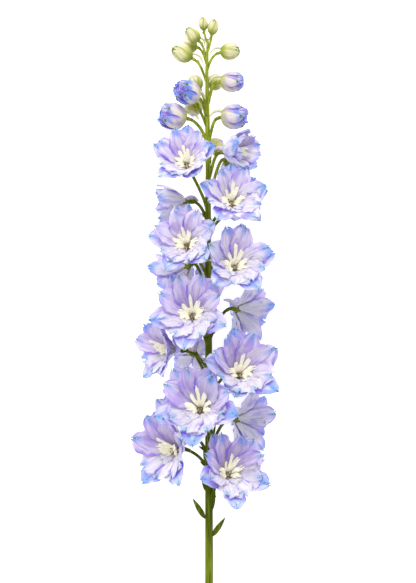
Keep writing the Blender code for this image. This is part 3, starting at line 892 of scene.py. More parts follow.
    def dots(
        self, shader: Shader, x: Socket, y: Socket, tone: Socket
    ) -> tuple[tuple[Socket, Colour], ...]:
        """The small green dots at the tip and up the midrib, in a pale blue halo.

        Args:
            shader: The petal's shader.
            x: The place across the petal.
            y: The place along it.
            tone: Its tone, which the dots wander by.

        Returns:
            The layers of the halo and of the dots.
        """
        wander = shader.math("ADD", x, shader.line(tone, 0.14, -0.07))
        sink = shader.math("ADD", y, shader.line(tone, 0.06, -0.03))
        halo = shader.spot(x, y, (0.5, 0.90), (0.14, 0.12, 0.9))
        dots = shader.spot(x, y, (0.5, 0.985), (0.16, 0.020, 0.6))
        for centre, size in (((0.5, 0.90), (0.038, 0.020)), ((0.53, 0.845), (0.026, 0.013))):
            dots = shader.math("MAXIMUM", dots, shader.spot(wander, sink, centre, (*size, 0.6)))
        haze = shader.times(halo, 0.6 * self.spots)
        return (haze, self.halo), (shader.times(dots, self.spots), self.green)


OUTER_FACE = PetalFinish(
    "SepalFace",
    throat=srgb(208, 200, 212), upper=srgb(222, 216, 236), lower=srgb(236, 233, 244),
    cloud=srgb(197, 192, 233), edge=srgb(132, 122, 236), tip=srgb(114, 162, 238),
    vein=srgb(172, 158, 223), tip_from=0.98, tip_share=0.90, edge_and_shade_share=0.80, vein_share=0.60,
    spots=0.95, fade=0.25, wedge=-0.10, frill_shade=0.80,
)
OUTER_BACK = PetalFinish(
    "SepalBack",
    throat=srgb(220, 216, 210), upper=srgb(238, 232, 246), lower=srgb(236, 232, 248),
    cloud=srgb(192, 184, 234), edge=srgb(146, 138, 232), tip=srgb(120, 160, 236),
    vein=srgb(176, 164, 222), tip_from=0.97, tip_share=0.90, edge_and_shade_share=0.70, vein_share=0.60,
    spots=0.90, fade=0.2, wedge=0.0, midrib=srgb(242, 238, 240), band_share=0.0,
)
INNER_FACE = PetalFinish(
    "PetalFace",
    throat=srgb(208, 198, 212), upper=srgb(224, 214, 235), lower=srgb(244, 236, 244),
    cloud=srgb(192, 173, 226), edge=srgb(138, 116, 234), tip=srgb(118, 158, 236),
    vein=srgb(163, 140, 218), tip_from=1.06, tip_share=0.85, edge_and_shade_share=0.85, vein_share=0.65,
    spots=0.90, fade=0.62, wedge=0.02,
)
INNER_BACK = PetalFinish(
    "PetalBack",
    throat=srgb(214, 212, 208), upper=srgb(220, 212, 246), lower=srgb(234, 228, 250),
    cloud=srgb(200, 192, 244), edge=srgb(150, 134, 236), tip=srgb(134, 166, 244),
    vein=srgb(178, 164, 230), tip_from=1.04, tip_share=0.80, edge_and_shade_share=0.50, vein_share=0.60,
    spots=0.70, fade=0.5, wedge=0.04, midrib=srgb(236, 232, 238), band_share=0.0,
)
CRUMPLE_FINISH = PetalFinish(
    "BudMouth",
    throat=srgb(120, 108, 220), upper=srgb(208, 192, 236), lower=srgb(226, 214, 238),
    cloud=srgb(150, 128, 228), edge=srgb(84, 76, 214), tip=srgb(96, 142, 238),
    vein=srgb(118, 96, 218), tip_from=1.00, tip_share=0.75, edge_and_shade_share=0.90, vein_share=0.60,
    spots=0.45, fade=0.0, wedge=0.04,
)


@dataclass(frozen=True)
class PlainFinish:
    """A finish with two colours that a soft noise mixes, and a fine relief.

    A cell is the noise's size in millimetres along each axis.
    """

    name: str
    first: Colour
    second: Colour
    cell: tuple[float, float, float]
    roughness: float = 0.55
    glow: float = 0.2
    relief: float = 0.1
    lit: float = 0.0

    @cached_property
    def material(self) -> bpy.types.Material:
        """Builds the material at its first use.

        Returns:
            The material.
        """
        shader = Shader(self.name)
        ways = [(given, 1.0 / (size * MM)) for given, size in zip(shader.place(), self.cell)]
        grain = shader.noise(*ways, detail=3.0)
        colour = shader.mix(shader.between(grain, 0.35, 0.68), self.first, self.second)
        shader.relief(grain, self.relief)
        shader.lit((1.0, 1.0, 1.0), self.lit)
        return shader.finish(colour, self.roughness, self.glow, 0.0)


SPUR_FINISH = PlainFinish("Spur", srgb(214, 204, 212), srgb(196, 186, 216), (2.0, 6.0, 2.0))
RECEPTACLE_FINISH = PlainFinish(
    "Receptacle", srgb(128, 140, 60), srgb(96, 110, 36), (1.0, 2.0, 1.0)
)
THROAT_FINISH = PlainFinish(
    "Throat", srgb(190, 176, 160), srgb(118, 102, 48), (0.9, 0.9, 0.9), roughness=0.7
)
ANTHER_FINISH = PlainFinish(
    "Anther", srgb(66, 56, 10), srgb(138, 126, 34), (0.8, 0.8, 0.8), roughness=0.7
)
BUD_HEART = PlainFinish("BudHeart", srgb(92, 82, 196), srgb(170, 148, 214), (1.5, 1.5, 1.5))
TAIL_FINISH = PlainFinish("BudSpur", srgb(228, 224, 196), srgb(210, 212, 164), (1.5, 5.0, 1.5))
FLOOR_FINISH = PlainFinish(
    "PaleTable", srgb(250, 250, 250), srgb(252, 252, 252), (40.0, 40.0, 40.0),
    roughness=0.9, glow=0.0, relief=0.0, lit=0.55,
)


@dataclass(frozen=True)
class LobeFinish:
    """The eye's cream lobes, yellower at their roots and margins.

    They have a faint painted glow, which lifts them out of the shade of the cup.
    """

    name: str
    root: Colour
    body: Colour
    edge: Colour
    # A faint glow of the body colour: painted light that lifts the lobes out of the cup's shade
    lit: float = 0.10

    @cached_property
    def material(self) -> bpy.types.Material:
        """Builds the material at its first use.

        Returns:
            The material.
        """
        shader = Shader(self.name)
        x, y, edge, tone = shader.blank()
        fuzz = shader.noise((x, 16.0), (y, 5.0), (tone, 31.0), detail=4.0, roughness=0.65)
        layers = (
            (shader.between(fuzz, 0.40, 0.72), self.edge),
            (shader.times(shader.between(edge, 0.5, 1.0), 0.35), self.edge),
            (shader.between(y, 0.34, 0.06), self.root),
        )
        shader.relief(fuzz, 0.6, 0.5)
        shader.lit(self.body, self.lit)
        return shader.finish(shader.layered(self.body, layers), 0.7, 0.3, 0.2)


LOBE_FINISH = LobeFinish(
    "EyeLobe", root=srgb(222, 208, 180), body=srgb(255, 254, 238), edge=srgb(255, 248, 206)
)


@dataclass(frozen=True)
class SepalFinish:
    """A bud's sepal: veins, a midrib, a margin, a coloured upper part and a green knob.

    The coloured part, its wing, reaches further down the more the bud is coloured.
    """

    name: str
    base: Colour
    body: Colour
    cloud: Colour
    vein: Colour
    midrib: Colour
    margin: Colour
    wing: Colour
    knob: Colour
    wing_from: float
    wing_share: float
    rib_width: float
    rib_share: float
    rim_share: float

    @cached_property
    def material(self) -> bpy.types.Material:
        """Builds the material at its first use.

        Returns:
            The material.
        """
        shader = Shader(self.name)
        times, line, between = shader.times, shader.line, shader.between
        x, y, edge, tone = shader.blank()
        # How coloured the bud is; on a green bud that faces down it paints the sepals paler,
        # partly their own paler green and partly painted light that lifts their shade
        low = shader.attribute("Low")
        clouds = shader.noise((x, 3.0), (y, 2.6), (tone, 23.0))
        veins = shader.noise((x, 22.0), (y, 1.5), (tone, 23.0))
        turn = shader.math("SINE", times(tone, 29.0))
        reach = line(low, 0.40, line(clouds, 0.50, line(turn, 0.16, y)))
        wing = times(
            between(reach, self.wing_from, self.wing_from + 0.24),
            between(veins, 0.72, 0.46),
            line(low, 0.55, 0.45),
            self.wing_share,
        )
        knob = shader.spot(x, y, (0.5, 0.90), (0.12, 0.05, 0.5))
        tip = shader.spot(x, y, (0.5, 1.0), (0.20, 0.035, 0.5))
        layers = (
            (between(clouds, 0.40, 0.62), self.cloud),
            (times(between(veins, 0.50, 0.66), 0.40), self.vein),
            (wing, self.wing),
            (times(between(edge, self.rib_width, 0.03), self.rib_share), self.midrib),
            (times(between(edge, 0.80, 0.96), between(y, 0.20, 0.6), self.rim_share), self.margin),
            (times(between(y, 0.46, 0.04), line(low, -0.45, 1.0)), self.base),
            (times(shader.math("MAXIMUM", knob, tip), 0.9), self.knob),
        )
        shader.relief(veins, 0.6)
        return shader.finish(shader.layered(self.body, layers), 0.55, 0.25, 0.1)


GREEN_SEPAL = SepalFinish(
    "GreenSepal",
    base=srgb(142, 156, 36), body=srgb(222, 216, 150), cloud=srgb(202, 204, 112),
    vein=srgb(162, 174, 66), midrib=srgb(160, 174, 60), margin=srgb(248, 236, 210),
    wing=srgb(244, 232, 212), knob=srgb(70, 124, 84), wing_from=0.66, wing_share=1.0,
    rib_width=0.30, rib_share=0.70, rim_share=0.80,
)
RIPE_SEPAL = SepalFinish(
    "RipeSepal",
    base=srgb(190, 194, 84), body=srgb(228, 216, 212), cloud=srgb(190, 170, 216),
    vein=srgb(166, 148, 202), midrib=srgb(240, 234, 180), margin=srgb(86, 72, 192),
    wing=srgb(84, 136, 234), knob=srgb(60, 110, 48), wing_from=1.20, wing_share=0.90,
    rib_width=0.16, rib_share=0.55, rim_share=0.85,
)


@dataclass(frozen=True)
class StemFinish:
    """The green of the stem at each height, with streaks along it.

    It is darker among the leaves and the lower flowers, partly its own deeper green and partly
    painted shade of the flowers over it, and paler at the young tip.
    """

    name: str
    greens_up_stem: tuple[tuple[float, Colour], ...]
    dark: Colour = srgb(56, 70, 2)
    light: Colour = srgb(172, 186, 66)
    low: float = -225.0
    high: float = 226.0

    @cached_property
    def material(self) -> bpy.types.Material:
        """Builds the material at its first use.

        Returns:
            The material.
        """
        shader = Shader(self.name)
        x, y, z = shader.place()
        span = self.high - self.low
        shade = shader.ramp(shader.line(y, 1.0 / (span * MM), -self.low / span), self.greens_up_stem)
        streaks = shader.noise((x, 900.0), (y, 45.0), (z, 900.0), detail=3.0)
        layers = (
            (shader.times(shader.between(streaks, 0.45, 0.62), 0.55), self.dark),
            (shader.times(shader.between(streaks, 0.48, 0.32), 0.35), self.light),
        )
        shader.relief(streaks, 0.3)
        return shader.finish(shader.layered(shade, layers), 0.65, 0.12, 0.0, shine=0.12)


STEM_FINISH = StemFinish(
    "StemGreen",
    # Shares of the way up and their greens: the darker ones from 0.12 to 0.62 are partly the
    # stem's own deeper green and partly painted shade of the flowers round it
    (
        (0.0, srgb(122, 136, 22)),
        (0.12, srgb(106, 120, 16)),
        (0.20, srgb(76, 92, 0)),
        (0.30, srgb(84, 98, 2)),
        (0.62, srgb(94, 108, 8)),
        (0.80, srgb(134, 148, 28)),
        (1.0, srgb(182, 192, 74)),
    ),
)


def rod(
    name: str,
    points: Sequence[np.ndarray],
    radii: Sequence[float],
    material: bpy.types.Material,
    sides: int = 2,
) -> bpy.types.Object:
    """A smooth round bar along a path.

    Args:
        name: Its name.
        points: Its path, in the spike's millimetres.
        radii: Its radius at each point, in millimetres.
        material: Its finish.
        sides: How finely it is rounded: 2 gives eight sides.

    Returns:
        The bar as a mesh, closed at both ends.
    """
    curve = added(bpy.ops.curve.primitive_nurbs_path_add, name).data
    curve.splines.clear()
    spline = curve.splines.new("NURBS")
    spline.points.add(len(points) - 1)
    spline.use_endpoint_u = True
    spline.order_u = 4
    spline.resolution_u = 2
    for knot, point, radius in zip(spline.points, points, radii):
        knot.co = (*((np.asarray(point) - ORIGIN) * MM), 1.0)
        knot.radius = radius
    curve.bevel_depth = MM
    curve.bevel_resolution = sides
    curve.use_fill_caps = True
    bpy.ops.object.convert(target="MESH")
    made = bpy.context.object
    made.data.materials.append(material)
    bpy.ops.object.shade_smooth_by_angle(angle=SMOOTH_BELOW)
    return made


def ball(
    name: str, middle: np.ndarray, radius: float, material: bpy.types.Material
) -> bpy.types.Object:
    """A small round grain, such as an anther.

    Args:
        name: Its name.
        middle: Its middle, in the spike's millimetres.
        radius: Its radius, in millimetres.
        material: Its finish.

    Returns:
        The grain, with its place in its mesh.
    """
    place = tuple((middle - ORIGIN) * MM)
    sphere = bpy.ops.mesh.primitive_ico_sphere_add
    made = added(sphere, name, subdivisions=1, radius=radius * MM, location=place)
    bpy.ops.object.transform_apply(location=True, rotation=True, scale=True)
    made.data.materials.append(material)
    bpy.ops.object.shade_smooth()
    return made


# A spur's radius at even steps along it as a share of its largest, its number of steps, and the
# angle that it leaves at, in degrees from straight back
SPUR_SHAPE = (0.85, 1.0, 0.92, 0.66, 0.32)
SPUR_STEPS = 12
SPUR_LEAVES = 45.0


def spur_path(
    facing: Facing, start: np.ndarray, length: float, bend: float, radius: float
) -> tuple[list[np.ndarray], list[float]]:
    """The path of a spur: out above the stalk, then round by its bend.

    Args:
        facing: The frame of its flower or bud.
        start: Where it leaves it.
        length: Its length in millimetres.
        bend: The angle that it ends at, in degrees from straight back towards the top.
        radius: Its largest radius in millimetres.

    Returns:
        The points and their radii.
    """
    points, radii = [start], [radius * SPUR_SHAPE[0]]
    last = len(SPUR_SHAPE) - 1
    for k in range(SPUR_STEPS):
        share = min(1.0, k / (SPUR_STEPS * (last - 1) / last))
        angle = math.radians(SPUR_LEAVES + (bend - SPUR_LEAVES) * share)
        onward = facing.top * math.sin(angle) - facing.axis * math.cos(angle)
        points.append(points[-1] + onward * (length / SPUR_STEPS))
        place = (k + 1) * last / SPUR_STEPS
        radii.append(radius * float(np.interp(place, range(last + 1), SPUR_SHAPE)))
    return points, radii


@dataclass(frozen=True)
class Bloom:
    """An open flower: two whorls of petals, a frill between them, its spur and its base.

    Lengths and widths are shares of the plan's length. A swing is what the leans of a petal's
    foot and tip add to the cup, for the outer whorl and for the inner one. The fan is the inner
    whorl at its true number. A sepal that rises past upright is tucked to a share of its length,
    and also opened by some degrees where the flower faces sideways. The barrel is its heights
    and its radii in millimetres.
    """

    plan: FlowerPlan
    whorl_count: int = 5
    half_open_inner: int = 3
    outer_width: float = 0.60
    sepal_share: float = 0.90
    away_share: float = 0.80
    half_open_wider: float = 1.05
    upright: float = 0.90
    sideways: float = 0.60
    tuck: float = 0.82
    opened: float = 26.0
    inner_width: float = 0.56
    inner_length: float = 0.86
    inner_top_longer: float = 0.07
    swings: tuple[tuple[float, float], ...] = ((-18.0, 18.0), (-30.0, 3.0))
    half_open_swings: tuple[tuple[float, float], ...] = ((8.0, -30.0), (-12.0, -34.0))
    petal_thickness: float = 0.34
    fan_count: int = 8
    half_open_fan: int = 5
    fan_width: float = 0.49
    lower_width: float = 0.57
    fan_longer: float = 1.05
    lower_shorter: float = 0.92
    fan_spread: tuple[float, float] = (8.0, 4.0)
    fan_twist: float = 0.14
    frill_width: float = 0.27
    frill_places: tuple[tuple[float, float], ...] = ((226.0, 0.38), (314.0, 0.38))
    spur_length: float = 0.58
    half_open_spur: float = 0.45
    spur_radius: float = 1.8
    barrel: tuple[tuple[float, float], ...] = (
        (-3.8, 1.1), (-1.8, 1.75), (-0.6, 2.3), (0.6, 2.9), (INNER_HEIGHT + 1.2, 2.6)
    )

    def whorl(self, inner: bool) -> list[Petal]:
        """The petals of one whorl as they would stand with no neighbours.

        Args:
            inner: Whether it is the inner whorl.

        Returns:
            The petals.
        """
        plan = self.plan
        count = self.half_open_inner if inner and plan.half_open else self.whorl_count
        foot, tip = (self.half_open_swings if plan.half_open else self.swings)[inner]
        kind = Kind.UPPER if inner else Kind.OUTER
        petals = []
        for k in range(count):
            azimuth = 90.0 + 360.0 / count * (k + (0.5 if inner else 0.0))
            upper = math.sin(math.radians(azimuth + plan.roll))
            share = self.inner_length * (1.0 + self.inner_top_longer * upper) if inner else 1.0
            petals.append(
                Petal(
                    azimuth,
                    length=plan.length * share,
                    width=plan.length * (self.inner_width if inner else self.outer_width),
                    start=plan.cup + foot,
                    end=plan.cup + tip,
                    root_radius=PLATE_RADIUS,
                    root_height=INNER_HEIGHT if inner else 0.0,
                    cut=CUTS[kind],
                    seed=f"{plan.name}-{kind.value}-{k}",
                )
            )
        return petals

    def solid(self) -> KDTree:
        """The corners of the flower's CAD node.

        Returns:
            The corners in the spike's millimetres, to find the nearest one in.
        """
        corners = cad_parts[f"{self.plan.name}_petals"].data.vertices
        tree = KDTree(len(corners))
        for k, corner in enumerate(corners):
            tree.insert(Vector(np.array(corner.co) / MM + ORIGIN), k)
        tree.balance()
        return tree

    def settled(self, facing: Facing, petals: Sequence[Petal], solid: KDTree) -> list[Petal]:
        """The petals bent as their solids are.

        Args:
            facing: The flower's frame.
            petals: The petals of a whorl as they would stand with no neighbours.
            solid: The corners of the flower's CAD node.

        Returns:
            Each petal bent so that its tip lies at the tip of a solid one.
        """
        kept = []
        for petal in petals:
            outer = petal.cut is CUTS[Kind.OUTER]
            tip = 1.0 if outer else SOLID_TIP
            past = (tip - SOLID_WIDEST) / (1.0 - SOLID_WIDEST)
            found = []
            for turn, share in GIVE_WAY:
                tried = petal.bent(turn, share)
                _, radius, height = tried.spine(np.array([tip]))
                point = facing.points(tried.azimuth, radius, height)[0]
                point[2] = max(point[2], ORIGIN[2])
                half = 0.5 * tried.width * (1.0 - past ** SOLID_POINT) ** 0.75 + 0.04
                reach = math.hypot(0.0 if outer else half, 0.5 * SOLID_BLADE)
                miss = abs(solid.find(Vector(point))[2] - reach)
                found.append((round(miss, 2), len(found), tried))
            kept.append(min(found)[2])
        return kept

    def fan(self, inner: Sequence[Petal]) -> list[Petal]:
        """The inner petals at their true number, because each solid one stands for several.

        Args:
            inner: The inner petals as their solids are bent.

        Returns:
            Petals that lie as the nearest solid one does: smooth at the flower's top, frilled at
            its foot.
        """
        plan = self.plan
        made = []
        count = self.half_open_fan if plan.half_open else self.fan_count
        for k in range(count):
            seed = f"{plan.name}-fan-{k}"
            rng = random.Random(seed)
            azimuth = 90.0 + 360.0 / count * (k + 0.5) + rng.uniform(-6.0, 6.0)
            turned = azimuth - plan.roll
            near = min(
                inner, key=lambda petal: abs((petal.azimuth - turned + 180.0) % 360.0 - 180.0)
            )
            smooth = plan.half_open or math.sin(math.radians(azimuth)) > -0.30
            longer = self.fan_longer if smooth else self.lower_shorter
            made.append(
                replace(
                    near,
                    azimuth=turned,
                    length=near.length * longer * rng.uniform(0.95, 1.03),
                    width=plan.length * (self.fan_width if smooth else self.lower_width),
                    start=near.start + self.fan_spread[0],
                    end=near.end + self.fan_spread[1] + rng.uniform(-4.0, 4.0),
                    cut=CUTS[Kind.UPPER if smooth else Kind.LOWER],
                    seed=seed,
                    twist=self.fan_twist,
                )
            )
        return made

    def frills(self) -> list[Petal]:
        """The short frilled petals at the foot of an open flower.

        Returns:
            The petals, none for a half open flower.
        """
        plan = self.plan
        if plan.half_open:
            return []
        rng = random.Random(f"{plan.name}-frill")
        return [
            Petal(
                azimuth - plan.roll + rng.uniform(-9.0, 9.0),
                length=plan.length * share * rng.uniform(0.94, 1.06),
                width=plan.length * self.frill_width,
                start=plan.cup - 28.0,
                end=plan.cup + rng.uniform(2.0, 14.0),
                root_radius=PLATE_RADIUS - 0.3,
                root_height=INNER_HEIGHT + 1.0,
                cut=CUTS[Kind.FRILL],
                seed=f"{plan.name}-frill-{k}",
            )
            for k, (azimuth, share) in enumerate(self.frill_places)
        ]

    def tucked(self, facing: Facing, sepal: Petal) -> Petal:
        """The sepal, or if it points straight up a shorter one, opened to show its face.

        Args:
            facing: The flower's frame.
            sepal: The sepal as its solid is bent.

        Returns:
            The sepal to build.
        """
        lean = math.radians(0.5 * (sepal.start + sepal.end))
        rise = facing.axis[2] * math.cos(lean) + facing.outward(sepal.azimuth)[2] * math.sin(lean)
        if rise < self.upright or self.plan.half_open:
            return sepal
        if facing.axis[2] < self.sideways:
            return sepal.bent(self.opened, self.tuck)
        return replace(sepal, length=sepal.length * self.tuck)

    def petals(self, facing: Facing, blank: Blank) -> list[bpy.types.Object]:
        """Builds every petal.

        Args:
            facing: The flower's frame.
            blank: The petals' blank.

        Returns:
            The petals as sheets.
        """
        plan, solid = self.plan, self.solid()
        share = self.half_open_wider if plan.half_open else self.sepal_share
        if plan.face[2] < FACES_DOWN:
            share = self.away_share
        outer = [
            self.tucked(facing, replace(petal, width=petal.width * share))
            for petal in self.settled(facing, self.whorl(False), solid)
        ]
        inner = self.settled(facing, self.whorl(True), solid)
        rng = random.Random(plan.name)
        sides = [side.material for side in (OUTER_FACE, OUTER_BACK, INNER_FACE, INNER_BACK)]
        made = []
        for slot, petals in ((0, outer), (2, self.fan(inner) + self.frills())):
            for petal in petals:
                points = petal.sheet(facing, blank)
                low = 0.5 - 0.5 * math.sin(math.radians(petal.azimuth + plan.roll))
                made.append(blank.copy(petal.seed, points, sides, rng.random(), slot, low))
        return made

    def build(self, blank: Blank) -> bpy.types.Object:
        """Builds the flower's petals, spur and base.

        Args:
            blank: The petals' blank.

        Returns:
            The finished piece.
        """
        plan = self.plan
        facing = Facing(plan, plan.roll)
        petals = joined(self.petals(facing, blank), f"{plan.name}_whorls")
        thickened(petals, self.petal_thickness, 1)
        length = plan.length * (self.half_open_spur if plan.half_open else self.spur_length)
        start = facing.origin + facing.top * 1.0 - facing.axis * 0.6
        path = spur_path(facing, start, length, plan.bend, self.spur_radius)
        spur = rod(f"{plan.name}_spur", *path, SPUR_FINISH.material, 4)
        heights, radii = zip(*self.barrel)
        green = RECEPTACLE_FINISH.material
        base = rod(f"{plan.name}_barrel", facing.stations(heights), radii, green, 4)
        piece = joined([petals, spur, base], f"{plan.name}_bloom")
        return finished(piece, [f"{plan.name}_petals"])


@dataclass(frozen=True)
class Lobe:
    """One lobe of an eye: where it stands, its size as shares of the petals', and its leans.

    The leans are those of its foot and its end, as shares of the flower's cup.
    """

    azimuth: float
    length: float
    width: float
    start: float
    end: float
    cut: Cut


# The lobes of an open and of a half open eye: azimuth, length, width, both leans and cut
OPEN_LOBES = (
    Lobe(94.0, 0.54, 0.064, 0.30, 0.85, STRAP),
    Lobe(58.0, 0.44, 0.092, 0.35, 0.85, STRAP),
    Lobe(136.0, 0.38, 0.072, 0.35, 0.85, STRAP),
    Lobe(170.0, 0.32, 0.095, 0.35, 1.05, TUFT),
    Lobe(198.0, 0.27, 0.080, 0.30, 1.15, TUFT),
    Lobe(14.0, 0.32, 0.095, 0.35, 1.05, TUFT),
    Lobe(346.0, 0.27, 0.080, 0.30, 1.15, TUFT),
    Lobe(216.0, 0.19, 0.070, 0.25, 1.10, TUFT),
    Lobe(328.0, 0.20, 0.070, 0.25, 1.10, TUFT),
    Lobe(76.0, 0.26, 0.050, 0.15, 0.40, STRAP),
    Lobe(114.0, 0.26, 0.050, 0.15, 0.40, STRAP),
)
HALF_OPEN_LOBES = (
    Lobe(90.0, 0.58, 0.110, 0.0, 0.35, STRAP),
    Lobe(160.0, 0.52, 0.100, 0.0, 0.45, STRAP),
    Lobe(215.0, 0.48, 0.120, 0.0, 0.55, TUFT),
    Lobe(20.0, 0.52, 0.100, 0.0, 0.45, STRAP),
    Lobe(325.0, 0.48, 0.120, 0.0, 0.55, TUFT),
    Lobe(265.0, 0.42, 0.110, 0.0, 0.40, TUFT),
)


@dataclass(frozen=True)
class Eye:
    """A flower's cream eye: its lobes round a dark throat with its stamens.

    The throat is its heights and its radii in millimetres.
    """

    plan: FlowerPlan
    hub_height: float = 4.0
    root_radius: float = 2.3
    thickness: float = 0.8
    throat: tuple[tuple[float, float], ...] = ((2.0, 2.0), (3.0, 2.1), (4.0, 1.7), (4.8, 0.9))
    # Real stamens, whose dark anthers, spread among the lower lobes, also act as painted shade in
    # the gaps between the lobes
    stamens: int = 15
    stamen_spread: float = 210.0
    stamen_radii: tuple[float, float, float] = (0.28, 0.24, 0.2)

    def lobe(self, lobe: Lobe, k: int) -> Petal:
        """One of the eye's lobes, a little off its size.

        Args:
            lobe: Its plan.
            k: Its number.

        Returns:
            The lobe as a petal.
        """
        plan, name = self.plan, f"{self.plan.name}-lobe-{k}"
        rng = random.Random(name)
        cup = plan.cup * min(1.0, max(0.45, 1.6 * plan.face[2] - 0.45))
        return Petal(
            lobe.azimuth + rng.uniform(-8.0, 8.0),
            length=lobe.length * plan.length * rng.uniform(0.90, 1.08),
            width=lobe.width * plan.length * rng.uniform(0.85, 1.1),
            start=lobe.start * cup,
            end=lobe.end * cup + rng.uniform(-12.0, 8.0),
            root_radius=self.root_radius,
            root_height=self.hub_height,
            cut=lobe.cut,
            seed=name,
            twist=rng.uniform(-0.25, 0.25),
        )

    def stamen(self, facing: Facing, k: int, rng: random.Random) -> list[bpy.types.Object]:
        """Builds a stamen at the foot of the throat.

        Args:
            facing: The flower's frame.
            k: The stamen's number.
            rng: The source of its place and its lean.

        Returns:
            Its thread and its dark anther.
        """
        share = k / (self.stamens - 1) - 0.5
        azimuth = 270.0 + self.stamen_spread * share + rng.uniform(-12.0, 12.0)
        lean = math.radians(rng.uniform(8.0, 74.0))
        out = facing.outward(azimuth)
        foot = facing.origin + facing.axis * self.hub_height + out * rng.uniform(0.6, 2.0)
        way = facing.axis * math.cos(lean) + out * math.sin(lean)
        tip = foot + way * rng.uniform(1.4, 4.0)
        name = f"{self.plan.name}_stamen_{k}"
        return [
            rod(name, (foot, 0.5 * (foot + tip), tip), self.stamen_radii, LOBE_FINISH.material, 0),
            ball(name, tip, rng.uniform(0.45, 0.75), ANTHER_FINISH.material),
        ]

    def build(self, blank: Blank) -> bpy.types.Object:
        """Builds the eye.

        Args:
            blank: The lobes' blank.

        Returns:
            The finished piece.
        """
        plan = self.plan
        facing = Facing(plan)
        lobes = HALF_OPEN_LOBES if plan.half_open else OPEN_LOBES
        sheets = []
        for k, lobe in enumerate(lobes):
            petal = self.lobe(lobe, k)
            points, tone = petal.sheet(facing, blank), (k + 0.5) / len(lobes)
            sheets.append(blank.copy(petal.seed, points, [LOBE_FINISH.material], tone))
        crown = joined(sheets, f"{plan.name}_lobes")
        thickened(crown, self.thickness)
        heights, radii = zip(*self.throat)
        hub = facing.stations(heights)
        parts = [crown, rod(f"{plan.name}_throat", hub, radii, THROAT_FINISH.material, 3)]
        rng = random.Random(f"{plan.name}-stamen")
        for k in range(self.stamens):
            parts += self.stamen(facing, k, rng)
        piece = joined(parts, f"{plan.name}_bee")
        return finished(piece, [f"{plan.name}_eye"])


